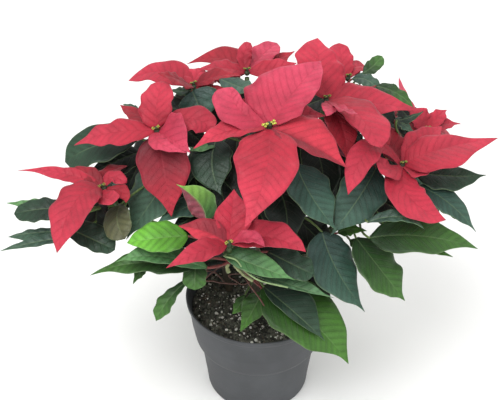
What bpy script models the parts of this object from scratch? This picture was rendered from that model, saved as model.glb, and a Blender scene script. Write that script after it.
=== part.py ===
"""A poinsettia in its plastic pot: four rooted cuttings, each with its leaves, that carry fifteen
flower heads of red bracts round small yellow-green flowers.

Units are metres in the finished model and millimetres in the values below. +Z is up and -Y is the
front. The origin is the middle of the pot's foot, on the surface that it stands on.

The blades of the front are laid out on a drawing plane that leans back with the line of sight of
someone who stands in front and looks down on the plant. A place on it is (right, up, near): right
and up are measured on the plane, and near is how far towards the viewer the point is brought.
"""
import math
import random

import bmesh
import bpy
from mathutils import Matrix, Vector
from mathutils.bvhtree import BVHTree

MM = 0.001

# The drawing plane: its middle, the tilt of the line of sight and the viewer's distance.
VIEW_MIDDLE = Vector((-9.2, -32.7, 282.2))
VIEW_TILT = math.radians(35.0)
VIEW_DISTANCE = 800.0
TOWARDS = Vector((0.0, -math.cos(VIEW_TILT), math.sin(VIEW_TILT)))
UPWARDS = Vector((0.0, math.sin(VIEW_TILT), math.cos(VIEW_TILT)))
RIGHTWARDS = Vector((1.0, 0.0, 0.0))
VIEWER = VIEW_MIDDLE + TOWARDS * VIEW_DISTANCE

# The pot: outer radii at heights above the foot, its wall, floor and drain holes.
POT_SIDES = 30
POT_HEIGHT = 131.0
POT_RIM_RADIUS = 82.5
POT_WALL = 2.2
POT_FLOOR = 3.0
POT_OUTSIDE = [
    (POT_RIM_RADIUS, POT_HEIGHT - 1.0), (81.9, 125.0), (79.6, 122.5), (76.7, 95.0), (73.4, 75.0),
    (71.0, 70.0), (67.2, 66.0), (61.8, 19.0), (60.2, 2.0), (58.8, 0.0),
]
POT_INSIDE_ROWS = (7, 6, 4, 2)
POT_FLOOR_ROW = 8
POT_FOOT_INNER = 50.0
POT_FOOT_PAD = 14.0
POT_FOOT_RECESS = 2.5
POT_LIP_ROUND = 0.6
DRAIN_COUNT = 3
DRAIN_RADIUS = 4.5
DRAIN_CIRCLE = 38.0
DRAIN_SIDES = 6
CUT_PAST = 5.0

# The soil fills the pot up to a little below the rim.
SOIL_TOP = 114.0
SOIL_GAP = 0.35
SOIL_FLOOR_INSET = 0.3
SOIL_ROUGHNESS = 1.6
SOIL_WAVE = (0.19, 0.23)
SOIL_WAVE_START = 0.7
SOIL_FINE_ROUGHNESS = 0.6
SOIL_FINE_WAVE = (0.61, 0.47)
SOIL_RINGS = [(0.0, 0.0), (24.0, 0.0), (46.0, 0.0), (64.0, 0.8)]
SOIL_EDGE_DROP = 2.0
STEM_HOLE_DEPTH = 26.0
STEM_HOLE_GAP = 0.55
STEM_HOLE_SIDES = 8

# Stems.
STEM_SIDES = 5
STEM_RADIUS = 4.6
BRANCH_RADIUS = 3.3
BRANCH_TIP_RADIUS = 2.4
BRANCH_STEPS = 7
BRANCH_START_DROP = 3.0
BRANCH_RISE = 0.22
BRANCH_SPREAD = 0.12
BRANCH_APPROACH = 0.42
TRUNK_SIDES = 7
TRUNK_TAPER = 0.5

# Blades.
BLADE_THICK = 0.9
PETIOLE_HALF_WIDTH = 1.15
PETIOLE_THICK = 2.1
KNOB_RADIUS = 5.0
KNOB_SEAT = 0.3
KNOB_SIDES = 6
BALL_RINGS = 3
CLEARANCE = 0.9
ROOT_SHARE = 0.20
ROOT_OFFSET = 2.0
BRACT_BENDS = (0.0, 0.55, 1.0)
LEAF_BENDS = (0.35, 0.75, 1.0)

# Half widths along a blade, as (share of the length, share of the widest half), with one more
# share where the two halves differ: clockwise, then the other. A leaf starts at its petiole's end.
SHAPES = {
    "ovate": [(0, .12), (.18, .74), (.40, 1), (.65, .78), (.86, .26), (1, 0)],
    "heart": [(0, .12), (.09, .66), (.20, .93), (.36, 1), (.60, .80), (.84, .24), (1, 0)],
    "toothed": [(0, .12), (.18, .76), (.40, 1), (.52, .78), (.60, .84), (.82, .24), (1, 0)],
    "winged": [(0, .12), (.18, .76), (.40, 1), (.60, .98, .84), (.82, .46, .24), (1, 0)],
    "flared": [(0, .12), (.14, .84, .72), (.34, 1), (.60, .86, 1), (.78, .42, .66), (.91, .10, .24),
               (1, 0)],
    "blunt": [(0, .12), (.22, .80), (.50, 1), (.74, .94), (.92, .60), (1, 0)],
    "long": [(0, .12), (.20, .80), (.36, 1), (.62, .78), (.86, .46), (1, 0)],
    "square": [(0, .12), (.16, .72, .84), (.34, 1), (.66, .98, .76), (.88, .52, .30), (1, 0)],
    "boxy": [(0, .12), (.16, .84, .72), (.34, 1), (.66, .76, .98), (.88, .30, .50), (1, 0)],
    "heavy": [(0, .12), (.06, .30), (.20, .80), (.42, .98), (.62, 1), (.82, .64), (1, 0)],
    "tipped": [(0, .12), (.14, .72), (.34, 1), (.62, .96), (.80, .56), (.91, .14), (1, 0)],
    "drop": [(0, .20), (.10, .34), (.34, .62), (.62, 1), (.84, .74), (1, 0)],
    "narrow": [(0, .20), (.14, .40), (.42, 1), (.76, .60), (1, 0)],
    "plain": [(0, .12), (.08, .22), (.34, 1), (.66, .76), (.90, .20), (1, 0)],
    "small": [(0, .14), (.24, .90), (.50, .98), (.78, .46), (1, 0)],
    "leaf": [(0, .12), (.12, .72), (.32, 1), (.58, .90), (.78, .48), (.91, .10), (1, 0)],
    "lobed": [(0, .12), (.15, .78), (.30, 1), (.40, .80), (.56, .96), (.80, .32), (1, 0)],
    "broad": [(0, .14), (.20, .90), (.45, 1), (.76, .52), (1, 0)],
}
SLOPE_STEP = 0.02
EDGE_WAVE = 1.1
EDGE_WAVE_STEP = 2.3

# Each cutting: its place on the soil (x, y) and the point where it forks.
CUTTINGS = {
    "a": ((-6.0, -20.0), (-3.0, -24.0, 158.0)),
    "b": ((34.0, -4.0), (38.0, -8.0, 165.0)),
    "c": ((-34.0, 24.0), (-40.0, 30.0, 162.0)),
    "d": ((14.0, 40.0), (16.0, 50.0, 166.0)),
}

# Each flower head: cutting, middle, lean to the front and to the right in degrees. The first
# ten show from the front, with the middle on the drawing plane; the others are in x, y, z.
FRONT_HEADS = {
    "01": ("a", (19, 73, 45), 20, 0),
    "02": ("a", (-93, 69, 25), 15, -8),
    "03": ("c", (-56, 113, -31), -4, -6),
    "04": ("d", (-3, 127, -44), -2, 0),
    "05": ("b", (76, 100, 5), 12, 8),
    "06": ("b", (152, 35, 5), 15, 12),
    "07": ("b", (176, 69, -38), 2, 14),
    "08": ("d", (98, 121, -68), -4, 8),
    "09": ("a", (-21, -44, 66), 25, 0),
    "10": ("c", (-146, 12, 25), 16, -14),
}
BACK_HEADS = {
    "11": ("c", (-118, 92, 312), -16, -16),
    "12": ("c", (-55, 150, 322), -24, -8),
    "13": ("d", (35, 168, 320), -26, 6),
    "14": ("d", (112, 150, 312), -22, 14),
    "15": ("b", (158, 108, 300), -14, 20),
}

# Bracts of the front heads: head, shape, middle and tip of the midrib as (right, up, near) with
# near counted from the head, half widths (clockwise, other side) seen from above, fold and roll.
BRACTS = [
    ("01", "heart", (16, 25, 37), (-5, -27, 57), (30, 28), 10, 0),
    ("01", "square", (42, 106, -12), (71, 139, -26), (23, 43), 14, -8),
    ("01", "blunt", (-12, 92, -4), (-18, 113, -10), (9, 22), 20, -10),
    ("01", "ovate", (3, 88, -12), (-7, 102, -18), (10, 9), 10, 0),
    ("01", "ovate", (-22, 69, 5), (-57, 51, 5), (15, 13), 18, 8),
    ("01", "heart", (64, 53, 14), (97, 32, 16), (14, 31), 20, -10),
    ("01", "ovate", (50, 84, -22), (75, 84, -28), (15, 15), 14, 0),
    ("02", "toothed", (-140, 67, 3), (-176, 54.5, -4), (15, 18), 12, -6),
    ("02", "blunt", (-94, 93, -2), (-87, 119, -16), (17, 17), 14, 0),
    ("02", "heart", (-78, 60, 12), (-59.5, 47, 18), (12, 27), 26, 20),
    ("02", "ovate", (-90, 57, 18), (-62, 47, 23), (9, 8), 10, 0),
    ("02", "blunt", (-58, 81, 2), (-38, 69, 2), (16, 15), 14, 6),
    ("02", "narrow", (-111, 84, -12), (-130, 95, -26), (8, 11), 10, 0),
    ("02", "heart", (-85, 24, 26), (-78.5, -17, 40), (25, 27), 14, 0),
    ("03", "long", (-87, 128.5, 4), (-121.5, 119, 0), (17, 17), 10, -6),
    ("03", "ovate", (-73, 121, 14), (-93, 127, 18), (9, 11), 8, -18),
    ("03", "ovate", (-34, 124, 8), (-8, 124, 4), (9, 11), 14, 0),
    ("03", "narrow", (-40, 112, 6), (-20, 110, 6), (6, 6), 14, 0),
    ("03", "blunt", (-55, 122, -2), (-46, 131, -8), (10, 11), 12, 0),
    ("04", "heart", (-28, 142, -2), (-63, 136, -4), (17, 13), 14, -6),
    ("04", "ovate", (-27, 132, 6), (-52, 131, 8), (12, 11), 12, 0),
    ("04", "ovate", (-25, 124, 2), (-45, 121, 4), (7, 7), 14, 0),
    ("04", "blunt", (-6, 145, -10), (1, 157, -16), (9, 8), 18, 0),
    ("04", "blunt", (10, 143, -8), (27, 157, -20), (15, 14), 16, 0),
    ("04", "ovate", (22, 138, -16), (45, 149, -22), (13, 12), 14, 0),
    ("04", "ovate", (24, 132, -10), (47, 137, -16), (11, 12), 12, 10),
    ("05", "boxy", (69, 134, -12), (67.5, 162, -28), (26, 24), 10, 0),
    ("05", "heart", (118, 98, 4), (173, 89, 6), (15, 21), 6, 8),
    ("05", "blunt", (107, 86, 16), (131, 52, 27), (13, 23), 4, 0),
    ("05", "narrow", (79, 92, 20), (76, 84, 25), (8, 8), 10, 0),
    ("05", "narrow", (93, 91, 20), (108, 86, 26), (5, 5), 10, 0),
    ("05", "ovate", (92, 72, 6), (98, 38, 10), (17, 17), 12, 0),
    ("05", "ovate", (122, 74, 0), (136, 48, 2), (19, 19), 10, 0),
    ("05", "narrow", (85, 64, 14), (97, 42, 20), (10, 9), 20, 0),
    ("06", "winged", (190, 51, 2), (248, 62, -8), (27, 20), 10, -6),
    ("06", "heavy", (160, 2, 18), (196, -20, 24), (25, 19), 14, 0),
    ("06", "drop", (121, 52, 20), (98, 5, 38), (14, 14), 8, 0),
    ("06", "narrow", (138, 31, 20), (124, 48, 26), (12, 14), 12, 0),
    ("06", "narrow", (168, 28, 8), (184, 36, 8), (9, 10), 22, 0),
    ("06", "ovate", (139, 58, -12), (128, 82, -26), (19, 19), 14, 0),
    ("06", "ovate", (174, 58, -12), (192, 74, -28), (18, 18), 14, 0),
    ("07", "narrow", (157, 99, -8), (149, 123, -12), (5, 5), 10, 0),
    ("07", "toothed", (188, 84, -2), (197, 90, -4), (10, 9), 14, 0),
    ("07", "toothed", (194, 76, 2), (211, 76, 4), (9, 8), 14, 0),
    ("07", "ovate", (162, 77, -2), (147, 81, -2), (11, 11), 10, 0),
    ("07", "blunt", (170, 82, -8), (166, 92, -16), (13, 13), 10, 0),
    ("08", "blunt", (92, 139, 2), (89, 157, 2), (13, 15), 14, 0),
    ("08", "ovate", (108, 134, 4), (121, 127, 4), (10, 10), 16, 0),
    ("08", "narrow", (103, 129, 0), (108, 137, -6), (9, 9), 16, 0),
    ("09", "ovate", (-45, -31, -2), (-72, -26, -10), (14, 13), 20, 0),
    ("09", "ovate", (-19, -14, -6), (-17, 11, -16), (15, 15), 14, 0),
    ("09", "ovate", (-50, -52, 9), (-84, -68, 16), (12, 11), 16, 0),
    ("09", "boxy", (17, -37, -4), (56, -52, -4), (12, 17), 14, 0),
    ("09", "narrow", (0, -38, 9), (15, -47, 13), (6, 9), 24, 0),
    ("09", "narrow", (-3, -24, -14), (7, -9, -22), (9, 9), 14, 0),
    ("10", "toothed", (-188, 27, -4), (-232, 29.5, -10), (8, 10), 14, 0),
    ("10", "ovate", (-166, 27, -2), (-190, 24, -5), (9, 8), 10, 0),
    ("10", "heavy", (-175, -2, 20), (-193, -53, 30), (22, 23), 10, 0),
    ("10", "blunt", (-144, 2, 14), (-130, 4, 20), (9, 10), 14, 0),
    ("10", "blunt", (-138, 23, -4), (-123, 17, -4), (8, 8), 14, 0),
    ("10", "narrow", (-128, 8, 2), (-124, -3, 5), (8, 8), 12, 0),
    ("10", "ovate", (-140, 28, -20), (-122, 34, -34), (12, 11), 16, 0),
]

# Leaves of the front: head whose branch carries it, shape, the blade's base, middle and tip as
# (right, up, near), half widths, fold and roll.
LEAVES = [
    ("02", "blunt", (-112, 62, 0), (-152, 55, 3), (-185, 38, -2), (27, 24), 8, 0),
    ("10", "blunt", (-180, -9, 8), (-209, -9, 8), (-236, -14, 8), (13, 15), 8, 0),
    ("10", "small", (-186, -4, 2), (-216, -4, 2), (-244, -3, 0), (6, 6), 10, 0),
    ("10", "small", (-188, -31, 2), (-217, -33, 2), (-242, -37, 0), (5, 11), 10, 0),
    ("10", "small", (-186, -38, 12), (-214, -42, 12), (-250, -51, 10), (8, 6), 12, 0),
    ("10", "blunt", (-186, -26, 22), (-160, -38, 24), (-135, -50, 26), (11, 16), 8, 0),
    ("02", "blunt", (-129, -4, 8), (-133, -20, 12), (-125, -39, 16), (15, 15), 10, 0),
    ("02", "leaf", (-74, 32, 14), (-96, 2, 24), (-124, -40, 32), (37, 27), 8, 0),
    ("03", "leaf", (-58, 109, -18), (-52, 95, -18), (-47, 74, -18), (19, 23), 8, 0),
    ("09", "square", (-62, -36, 44), (-92, -38, 48), (-123, -43, 46), (19, 18), 8, 0),
    ("09", "leaf", (-43, -68, 36), (-94, -56, 42), (-134, -62, 42), (14, 8), 12, 0),
    ("09", "lobed", (-54, -68, 20), (-112, -63, 26), (-160, -75.5, 26), (12, 13), 10, 0),
    ("09", "blunt", (-54, -62, 20), (-55, -76, 26), (-55, -90, 28), (13, 12), 6, 0),
    ("10", "drop", (-62, -80, 4), (-81, -99, 8), (-94, -121, 8), (11, 10), 12, 0),
    ("09", "leaf", (-44, -20, 62), (-51, -2, 72), (-74, 16, 80), (17, 13), 20, 0),
    ("01", "leaf", (-33, 62, 16), (-38, 34, 30), (-28, 4, 40), (22, 21), 8, 0),
    ("02", "leaf", (-34, 54, 6), (-50, 42, 16), (-62, 15, 28), (17, 18), 8, 0),
    ("01", "small", (-24, 62, 10), (-44, 54, 20), (-62, 49, 24), (7, 7), 10, 0),
    ("04", "small", (-30, 121, -20), (-10, 113, -10), (9, 107, 0), (11, 12), 8, 0),
    ("08", "blunt", (113, 127, -52), (123, 134, -54), (132, 144, -58), (8, 8), 8, 0),
    ("08", "blunt", (102, 121, -42), (117, 120, -36), (130, 108, -32), (10, 9), 8, 0),
    ("05", "leaf", (126, 114, -18), (148, 106, -14), (165, 90, -12), (10, 9), 8, 0),
    ("07", "small", (147, 80, 2), (158, 82, 6), (174, 89, 8), (6, 3), 12, 0),
    ("07", "small", (145, 80, 2), (154, 75, 10), (165, 67, 14), (7, 7), 10, 0),
    ("06", "leaf", (166, 28, -14), (200, 24, -12), (237, 25, -14), (19, 14), 8, 0),
    ("06", "leaf", (170, 14, -8), (200, -4, -2), (226, -32, 2), (16, 17), 8, 0),
    ("06", "small", (182, -2, -14), (200, -12, -10), (215, -23, -10), (6, 6), 12, 0),
    ("06", "small", (118, -22, 26), (150, -17, 32), (174, -29, 36), (6, 8), 12, 0),
    ("06", "flared", (120, -38, 8), (172, -36, 14), (228, -49, 12), (22, 20), 8, 0),
    ("06", "small", (150, -42, 0), (178, -48, 4), (203, -57, 4), (7, 6), 12, 0),
    ("06", "tipped", (106, -38, -4), (131, -70, 2), (155, -101, 2), (27, 27), 8, 0),
    ("01", "leaf", (72, -32, 14), (87, -70, 18), (115, -112, 16), (30, 26), 8, 0),
    ("01", "leaf", (46, 36, 28), (62, 3, 36), (87, -31, 42), (22, 26), 10, 0),
    ("05", "leaf", (126, 32, 2), (108, 1, 14), (80, -36, 24), (24, 24), 10, 0),
    ("09", "blunt", (18, -52, 34), (42, -64, 40), (64, -75, 42), (14, 14), 8, 0),
    ("09", "leaf", (-26, -53, 52), (8, -66, 58), (45, -80, 58), (10, 14), 14, 0),
    ("09", "leaf", (-10, -68, 24), (38, -84, 36), (84, -98, 40), (4, 12), 14, 0),
    ("09", "flared", (12, -88, -4), (60, -120, 4), (98.5, -164, -2), (32, 35), 6, 0),
    ("01", "leaf", (14, -87, 2), (44, -112, 14), (75, -141, 14), (8, 27), 8, 0),
    ("09", "small", (-5, -95, -50), (-11, -106, -48), (-18, -114, -50), (7, 7), 10, 0),
    ("09", "small", (12, -92, -42), (3, -110, -42), (-10, -132, -46), (14, 11), 10, 0),
    ("01", "broad", (-12, 66, -8), (-12, 34, 8), (0, -6, 18), (24, 22), 8, 0),
    ("01", "broad", (22, 22, 0), (36, -10, 10), (34, -46, 12), (24, 24), 8, 0),
    ("05", "broad", (46, -16, -22), (72, -42, -16), (98, -62, -20), (22, 22), 8, 0),
    ("06", "broad", (104, 8, -44), (132, -10, -42), (160, -28, -46), (21, 21), 8, 0),
    ("10", "broad", (-110, 48, -22), (-136, 38, -16), (-160, 26, -14), (18, 18), 8, -10),
    ("10", "broad", (-118, 0, -8), (-142, -8, -5), (-166, -14, -4), (17, 17), 8, 0),
    ("09", "broad", (-40, -26, 12), (-62, -36, 20), (-84, -38, 22), (17, 17), 8, 0),
    ("05", "broad", (58, 66, -24), (72, 32, -12), (72, -8, -4), (24, 24), 8, 0),
    ("06", "broad", (146, 30, -34), (164, 8, -24), (180, -16, -20), (13, 13), 8, 0),
    ("03", "broad", (-26, 110, -60), (-20, 86, -44), (-10, 58, -34), (22, 20), 8, 0),
    ("02", "broad", (-96, 60, -16), (-112, 34, -6), (-124, 6, 2), (22, 22), 8, 0),
    ("02", "broad", (-60, 42, -14), (-54, 18, -12), (-46, -10, -8), (22, 22), 8, 0),
    ("01", "broad", (4, -2, -8), (14, -22, -4), (22, -46, 0), (20, 20), 8, 0),
    ("05", "small", (88, -33, -8), (100, -29, -6), (117, -31, -6), (8, 7), 8, 0),
    ("06", "small", (100, -40, -18), (108, -46, -18), (119, -53, -18), (8, 8), 8, 0),
    ("08", "broad", (84, 104, -70), (60, 96, -62), (34, 84, -56), (22, 22), 8, 0),
    ("07", "broad", (150, 92, -56), (170, 72, -50), (196, 52, -48), (20, 20), 8, 0),
    ("10", "broad", (-146, 4, 2), (-154, -18, 8), (-146, -38, 8), (14, 14), 8, 0),
    ("09", "broad", (-42, -2, 6), (-66, -8, 12), (-92, -22, 16), (15, 15), 8, 0),
    ("01", "broad", (54, -40, -4), (80, -50, -8), (106, -57, -12), (15, 15), 8, 0),
    ("02", "small", (-110, 84, -18), (-119, 91, -22), (-127, 96, -24), (6, 6), 8, 0),
    ("06", "broad", (110, 20, -20), (134, -2, -20), (164, -14, -24), (17, 17), 8, 0),
    ("04", "broad", (-6, 112, -60), (10, 96, -56), (24, 76, -50), (20, 20), 8, 0),
    ("01", "broad", (-14, 82, -14), (4, 68, -12), (24, 56, -16), (15, 15), 8, 0),
    ("02", "broad", (-74, 78, -8), (-58, 66, -4), (-44, 54, -2), (18, 14), 8, 0),
    ("02", "broad", (-92, 98, -34), (-72, 90, -32), (-48, 84, -30), (15, 15), 8, 0),
    ("05", "broad", (99, 66, -29), (113, 30, -25), (120, -6, -28), (19, 19), 8, 0),
    ("06", "broad", (118, 100, -50), (134, 84, -46), (154, 64, -46), (18, 18), 8, 0),
    ("01", "broad", (-32, 32, 2), (-28, 8, 6), (-22, -20, 8), (15, 15), 8, 0),
    ("05", "broad", (92, 50, -14), (86, 6, -10), (84, -34, -10), (14, 14), 8, 0),
    ("09", "broad", (-48, -10, 20), (-62, -20, 22), (-82, -32, 24), (12, 12), 8, 0),
    ("09", "broad", (8, -42, 14), (30, -48, 16), (58, -54, 16), (13, 13), 8, 0),
    ("09", "broad", (-18, -50, 12), (-32, -58, 12), (-52, -64, 10), (11, 11), 8, 0),
    ("01", "broad", (44, 60, -12), (50, 42, -8), (54, 12, -6), (16, 16), 8, 0),
    ("06", "broad", (124, 58, -30), (136, 44, -26), (152, 24, -24), (15, 15), 8, 0),
    ("10", "small", (-102, -64, 14), (-110, -72, 14), (-117, -84, 14), (7, 7), 8, 0),
    ("09", "broad", (-60, 4, -20), (-74, -4, -16), (-92, -16, -12), (12, 12), 8, 0),
    ("05", "small", (97, 74, -32), (106, 66, -32), (115, 56, -34), (8, 8), 8, 0),
    ("06", "small", (140, 74, -40), (150, 67, -40), (164, 57, -42), (9, 9), 8, 0),
    ("05", "small", (84, 84, -20), (74, 80, -20), (62, 74, -22), (6, 6), 8, 0),
    ("03", "small", (-58, 110, -30), (-68, 109, -32), (-80, 110, -34), (6, 7), 8, 0),
    ("03", "broad", (-58, 104, -40), (-74, 92, -42), (-86, 76, -40), (16, 16), 8, 0),
]

# Leaves sit on a branch at these shares of its length, a little below the blade's base.
LEAF_PLACES = [0.15 + 0.05 * step for step in range(16)]
LEAF_PLACE_BELOW = Vector((0.0, 0.0, 6.0))

# The upper side of a blade of the front leans away from the line of sight by no more than this.
FACING_LIMIT = math.radians(46.0)

# The outline that the plant shows from the front, on the drawing plane. Blades that are placed
# by rule keep inside it.
OUTLINE = [
    (-228, 30), (-186, 34), (-180, 54), (-168, 68), (-140, 78), (-112, 84), (-108, 98), (-92, 114),
    (-100, 118), (-118, 121), (-100, 136), (-76, 143), (-50, 140), (-30, 148), (0, 150), (24, 156),
    (50, 146), (68, 156), (92, 152), (104, 140), (124, 130), (132, 114), (150, 108), (166, 92),
    (192, 86), (206, 76), (196, 68), (236, 58), (212, 42), (224, 26), (204, 12), (214, -14),
    (218, -38), (180, -46), (144, -54), (152, -92), (110, -80), (112, -104), (80, -98),
    (88, -124), (86, -150), (40, -138), (-58, -138), (-62, -96), (-84, -112), (-76, -84),
    (-110, -76), (-122, -54), (-148, -48), (-190, -44), (-240, -46), (-196, -20), (-236, -6),
    (-196, 4), (-196, 20),
]

# Blades that are placed by rule: how many, and the ranges that their sizes are drawn from.
SEED = 21
DRAWS = 26
GOLDEN_ANGLE = math.radians(137.5)
BACK_HEAD_BRACTS = 6
FRONT_HEAD_BRACTS = 2
BRACT_LENGTH = (62.0, 96.0)
BRACT_SHORTER = 0.05
BRACT_TURN = (-0.35, 0.35)
BRACT_DROOP = (-0.10, 0.55)
BRACT_HALF_WIDTH = (0.24, 0.29)
BRACT_FOLD = (8.0, 22.0)
BACK_HEAD_LEAVES = 4
FRONT_HEAD_LEAVES = 1
LEAF_LEAN = 0.6
LEAF_START = 0.90
LEAF_START_STEP = 0.13
LEAF_SPREAD = (-1.7, 1.7)
LEAF_LENGTH = (84.0, 124.0)
LEAF_DROOP = (0.05, 0.95)
LEAF_HALF_WIDTH = (0.27, 0.33)
LEAF_FOLD = (6.0, 16.0)
PETIOLE_LENGTH = (20.0, 38.0)
PETIOLE_RISE = (0.0, 0.35)
BLADE_ARCH = (0.06, 0.14)
BLADE_ROLL = (-9.0, 9.0)
TURNS = (0, 10, -10)
SHIFTS = (0, 4, -4, 8, -8, 12, -12, 17, -17, 23, -23, 30, -30, 38, -38)

# The exact solver leaves open edges where many thin petioles meet a branch, so the plants are
# joined with the manifold one.
PLANT_SOLVER = "MANIFOLD"
HEAD_SOLVER = "EXACT"

# Base colours of the plain materials.
PLANT_COLOUR = (0.06, 0.16, 0.07)
BRACT_COLOUR = (0.60, 0.05, 0.08)
CUP_COLOUR = (0.45, 0.50, 0.08)
POT_COLOUR = (0.10, 0.105, 0.11)
SOIL_COLOUR = (0.03, 0.024, 0.02)

# Faces closer than this angle to one plane count as flat.
FLAT_ANGLE = 0.3

# Small flowers in the middle of each head.
CUP_COUNT = 3
CUP_RADIUS = 1.8
CUP_HEIGHT = 4.8
CUP_SIDES = 4
CUP_SPREAD = 2.7
CUP_LIFT = 2.8
CUP_BASE_RADIUS = 3.8
CUP_BASE_HEIGHT = 1.8
CUP_BASE_FLARE = 0.5
CUP_STEP = 0.7
CUP_LEAN = 0.06


def seen(right, up, near):
    """Point that appears at (right, up) on the drawing plane, near mm closer than the plane."""
    shrink = (VIEW_DISTANCE - near) / VIEW_DISTANCE
    across = RIGHTWARDS * right + UPWARDS * up
    return VIEW_MIDDLE + across * shrink + TOWARDS * near


def on_drawing(point):
    """Place (right, up) on the drawing plane where a point appears."""
    offset = point - VIEW_MIDDLE
    scale = VIEW_DISTANCE / (VIEW_DISTANCE - offset.dot(TOWARDS))
    return offset.dot(RIGHTWARDS) * scale, offset.dot(UPWARDS) * scale


def inside_outline(point):
    """Whether a point appears inside the plant's outline."""
    right, up = on_drawing(point)
    inside = False
    previous = OUTLINE[-1]
    for corner in OUTLINE:
        if (corner[1] > up) != (previous[1] > up):
            share = (up - corner[1]) / (previous[1] - corner[1])
            if right < corner[0] + share * (previous[0] - corner[0]):
                inside = not inside
        previous = corner
    return inside


def bezier(points, share):
    """Point on the Bezier curve through a control polygon."""
    points = list(points)
    while len(points) > 1:
        points = [a.lerp(b, share) for a, b in zip(points, points[1:])]
    return points[0]


class Head:
    """A flower head: its middle, the direction it faces and the branch below it."""

    def __init__(self, name, cutting, middle, front, right):
        self.name = name
        self.cutting = cutting
        self.middle = middle
        slope = (math.tan(math.radians(right)), -math.tan(math.radians(front)), 1.0)
        self.axis = Vector(slope).normalized()
        fork = Vector(CUTTINGS[cutting][1])
        end = middle - self.axis * (KNOB_RADIUS + KNOB_SEAT)
        reach = (end - fork).length
        self.branch = [
            fork - Vector((0, 0, BRANCH_START_DROP)),
            fork + Vector((0, 0, reach * BRANCH_RISE)) + (end - fork) * BRANCH_SPREAD,
            end - self.axis * reach * BRANCH_APPROACH,
            end,
        ]

    def along(self, share):
        """Point on the branch's centre line."""
        return bezier(self.branch, share)


class Blade:
    """A bract or leaf: its owner node, midrib, upper side, half widths and bends."""

    def __init__(self, owner, shape, midrib, upper, widths, fold, roll, petiole=None):
        self.owner = owner
        self.shape = shape
        self.midrib = midrib
        self.upper = upper
        self.widths = widths
        self.fold = fold
        self.roll = roll
        self.petiole = petiole

    def moved(self, shift, turn):
        """The same blade, seen alike from the front, with its tip brought nearer by shift."""
        base, middle, tip = self.midrib
        shares = BRACT_BENDS if self.petiole is None else LEAF_BENDS
        points = []
        for point, share in zip((base, middle, tip), shares):
            points.append(point + (VIEWER - point).normalized() * shift * share)
        return Blade(self.owner, self.shape, points, self.upper, self.widths, self.fold,
                     self.roll + turn, self.petiole)

    def point(self, share):
        """Point on the midrib."""
        base, middle, tip = self.midrib
        bend = middle * 2.0 - (base + tip) * 0.5
        return bezier((base, bend, tip), share)

    def sections(self, extra_width=0.0, thick=BLADE_THICK):
        """Rows (middle, side, normal, half widths, thickness) from root to tip."""
        rows = []
        if self.petiole is not None:
            start = self.petiole
            base = self.midrib[0]
            depth = thick - BLADE_THICK + PETIOLE_THICK
            half = PETIOLE_HALF_WIDTH + extra_width
            rows.append((start, base - start, half, half, depth, 0.0))
        for share, *halves in SHAPES[self.shape]:
            before, after = max(share - SLOPE_STEP, 0.0), min(share + SLOPE_STEP, 1.0)
            ahead = self.point(after) - self.point(before)
            clock = self.widths[0] * halves[0] + extra_width
            other = self.widths[1] * halves[-1] + extra_width
            rows.append((self.point(share), ahead, clock, other, thick, share))
        return rows

    def mesh(self, extra_width=0.0, thick=BLADE_THICK, from_share=-1.0):
        """Vertices and triangles of the blade as a thin closed solid."""
        vertices = []
        count = 0
        rows = [row for row in self.sections(extra_width, thick) if row[5] >= from_share]
        for point, ahead, clock, other, depth, share in rows[:-1]:
            side, normal = self.frame(ahead)
            fold = math.radians(self.fold) if share > 0 else 0.0
            out = side * math.cos(fold)
            lift = normal * math.sin(fold)
            wave = normal * EDGE_WAVE * math.sin(EDGE_WAVE_STEP * count + self.widths[0])
            ripple = wave if share > ROOT_SHARE else wave * 0.0
            corners = (point + (out + lift) * clock + ripple, point,
                       point + (lift - out) * other - ripple)
            half = normal * depth * 0.5
            vertices += [corner + half for corner in corners]
            vertices += [corner - half for corner in corners]
            count += 1
        point, ahead = rows[-1][0], rows[-1][1]
        normal = self.frame(ahead)[1] * rows[-1][4] * 0.5
        vertices += [point + normal, point - normal]
        return vertices, blade_triangles(count)

    def frame(self, ahead):
        """Clockwise side and upper normal for a midrib direction."""
        ahead = ahead.normalized()
        side = ahead.cross(self.upper).normalized()
        normal = side.cross(ahead)
        turn = Matrix.Rotation(math.radians(self.roll), 3, ahead)
        return turn @ side, turn @ normal

    def checkpoints(self):
        """Points of the blade that tell where it shows: its corners and the places between."""
        corners = self.mesh()[0]
        return corners + [a.lerp(b, 0.5) for a, b in zip(corners, corners[6:])]


def blade_triangles(count):
    """Triangles of a blade with count rows of six corners and a two-point tip."""
    triangles = []

    def quad(a, b, c, d):
        triangles.append((a, b, c))
        triangles.append((a, c, d))

    for row in range(count - 1):
        near, far = row * 6, row * 6 + 6
        quad(near, near + 1, far + 1, far)
        quad(near + 1, near + 2, far + 2, far + 1)
        triangles.append((near + 3, far + 4, near + 4))
        triangles.append((near + 3, far + 3, far + 4))
        triangles.append((near + 4, far + 5, near + 5))
        triangles.append((near + 4, far + 4, far + 5))
        quad(near, far, far + 3, near + 3)
        quad(near + 2, near + 5, far + 5, far + 2)
    last = (count - 1) * 6
    top, bottom = count * 6, count * 6 + 1
    triangles += [(last, last + 1, top), (last + 1, last + 2, top)]
    triangles += [(last + 4, last + 3, bottom), (last + 5, last + 4, bottom)]
    quad(last, top, bottom, last + 3)
    quad(last + 2, last + 5, bottom, top)
    quad(0, 3, 4, 1)
    quad(1, 4, 5, 2)
    return triangles


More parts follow.
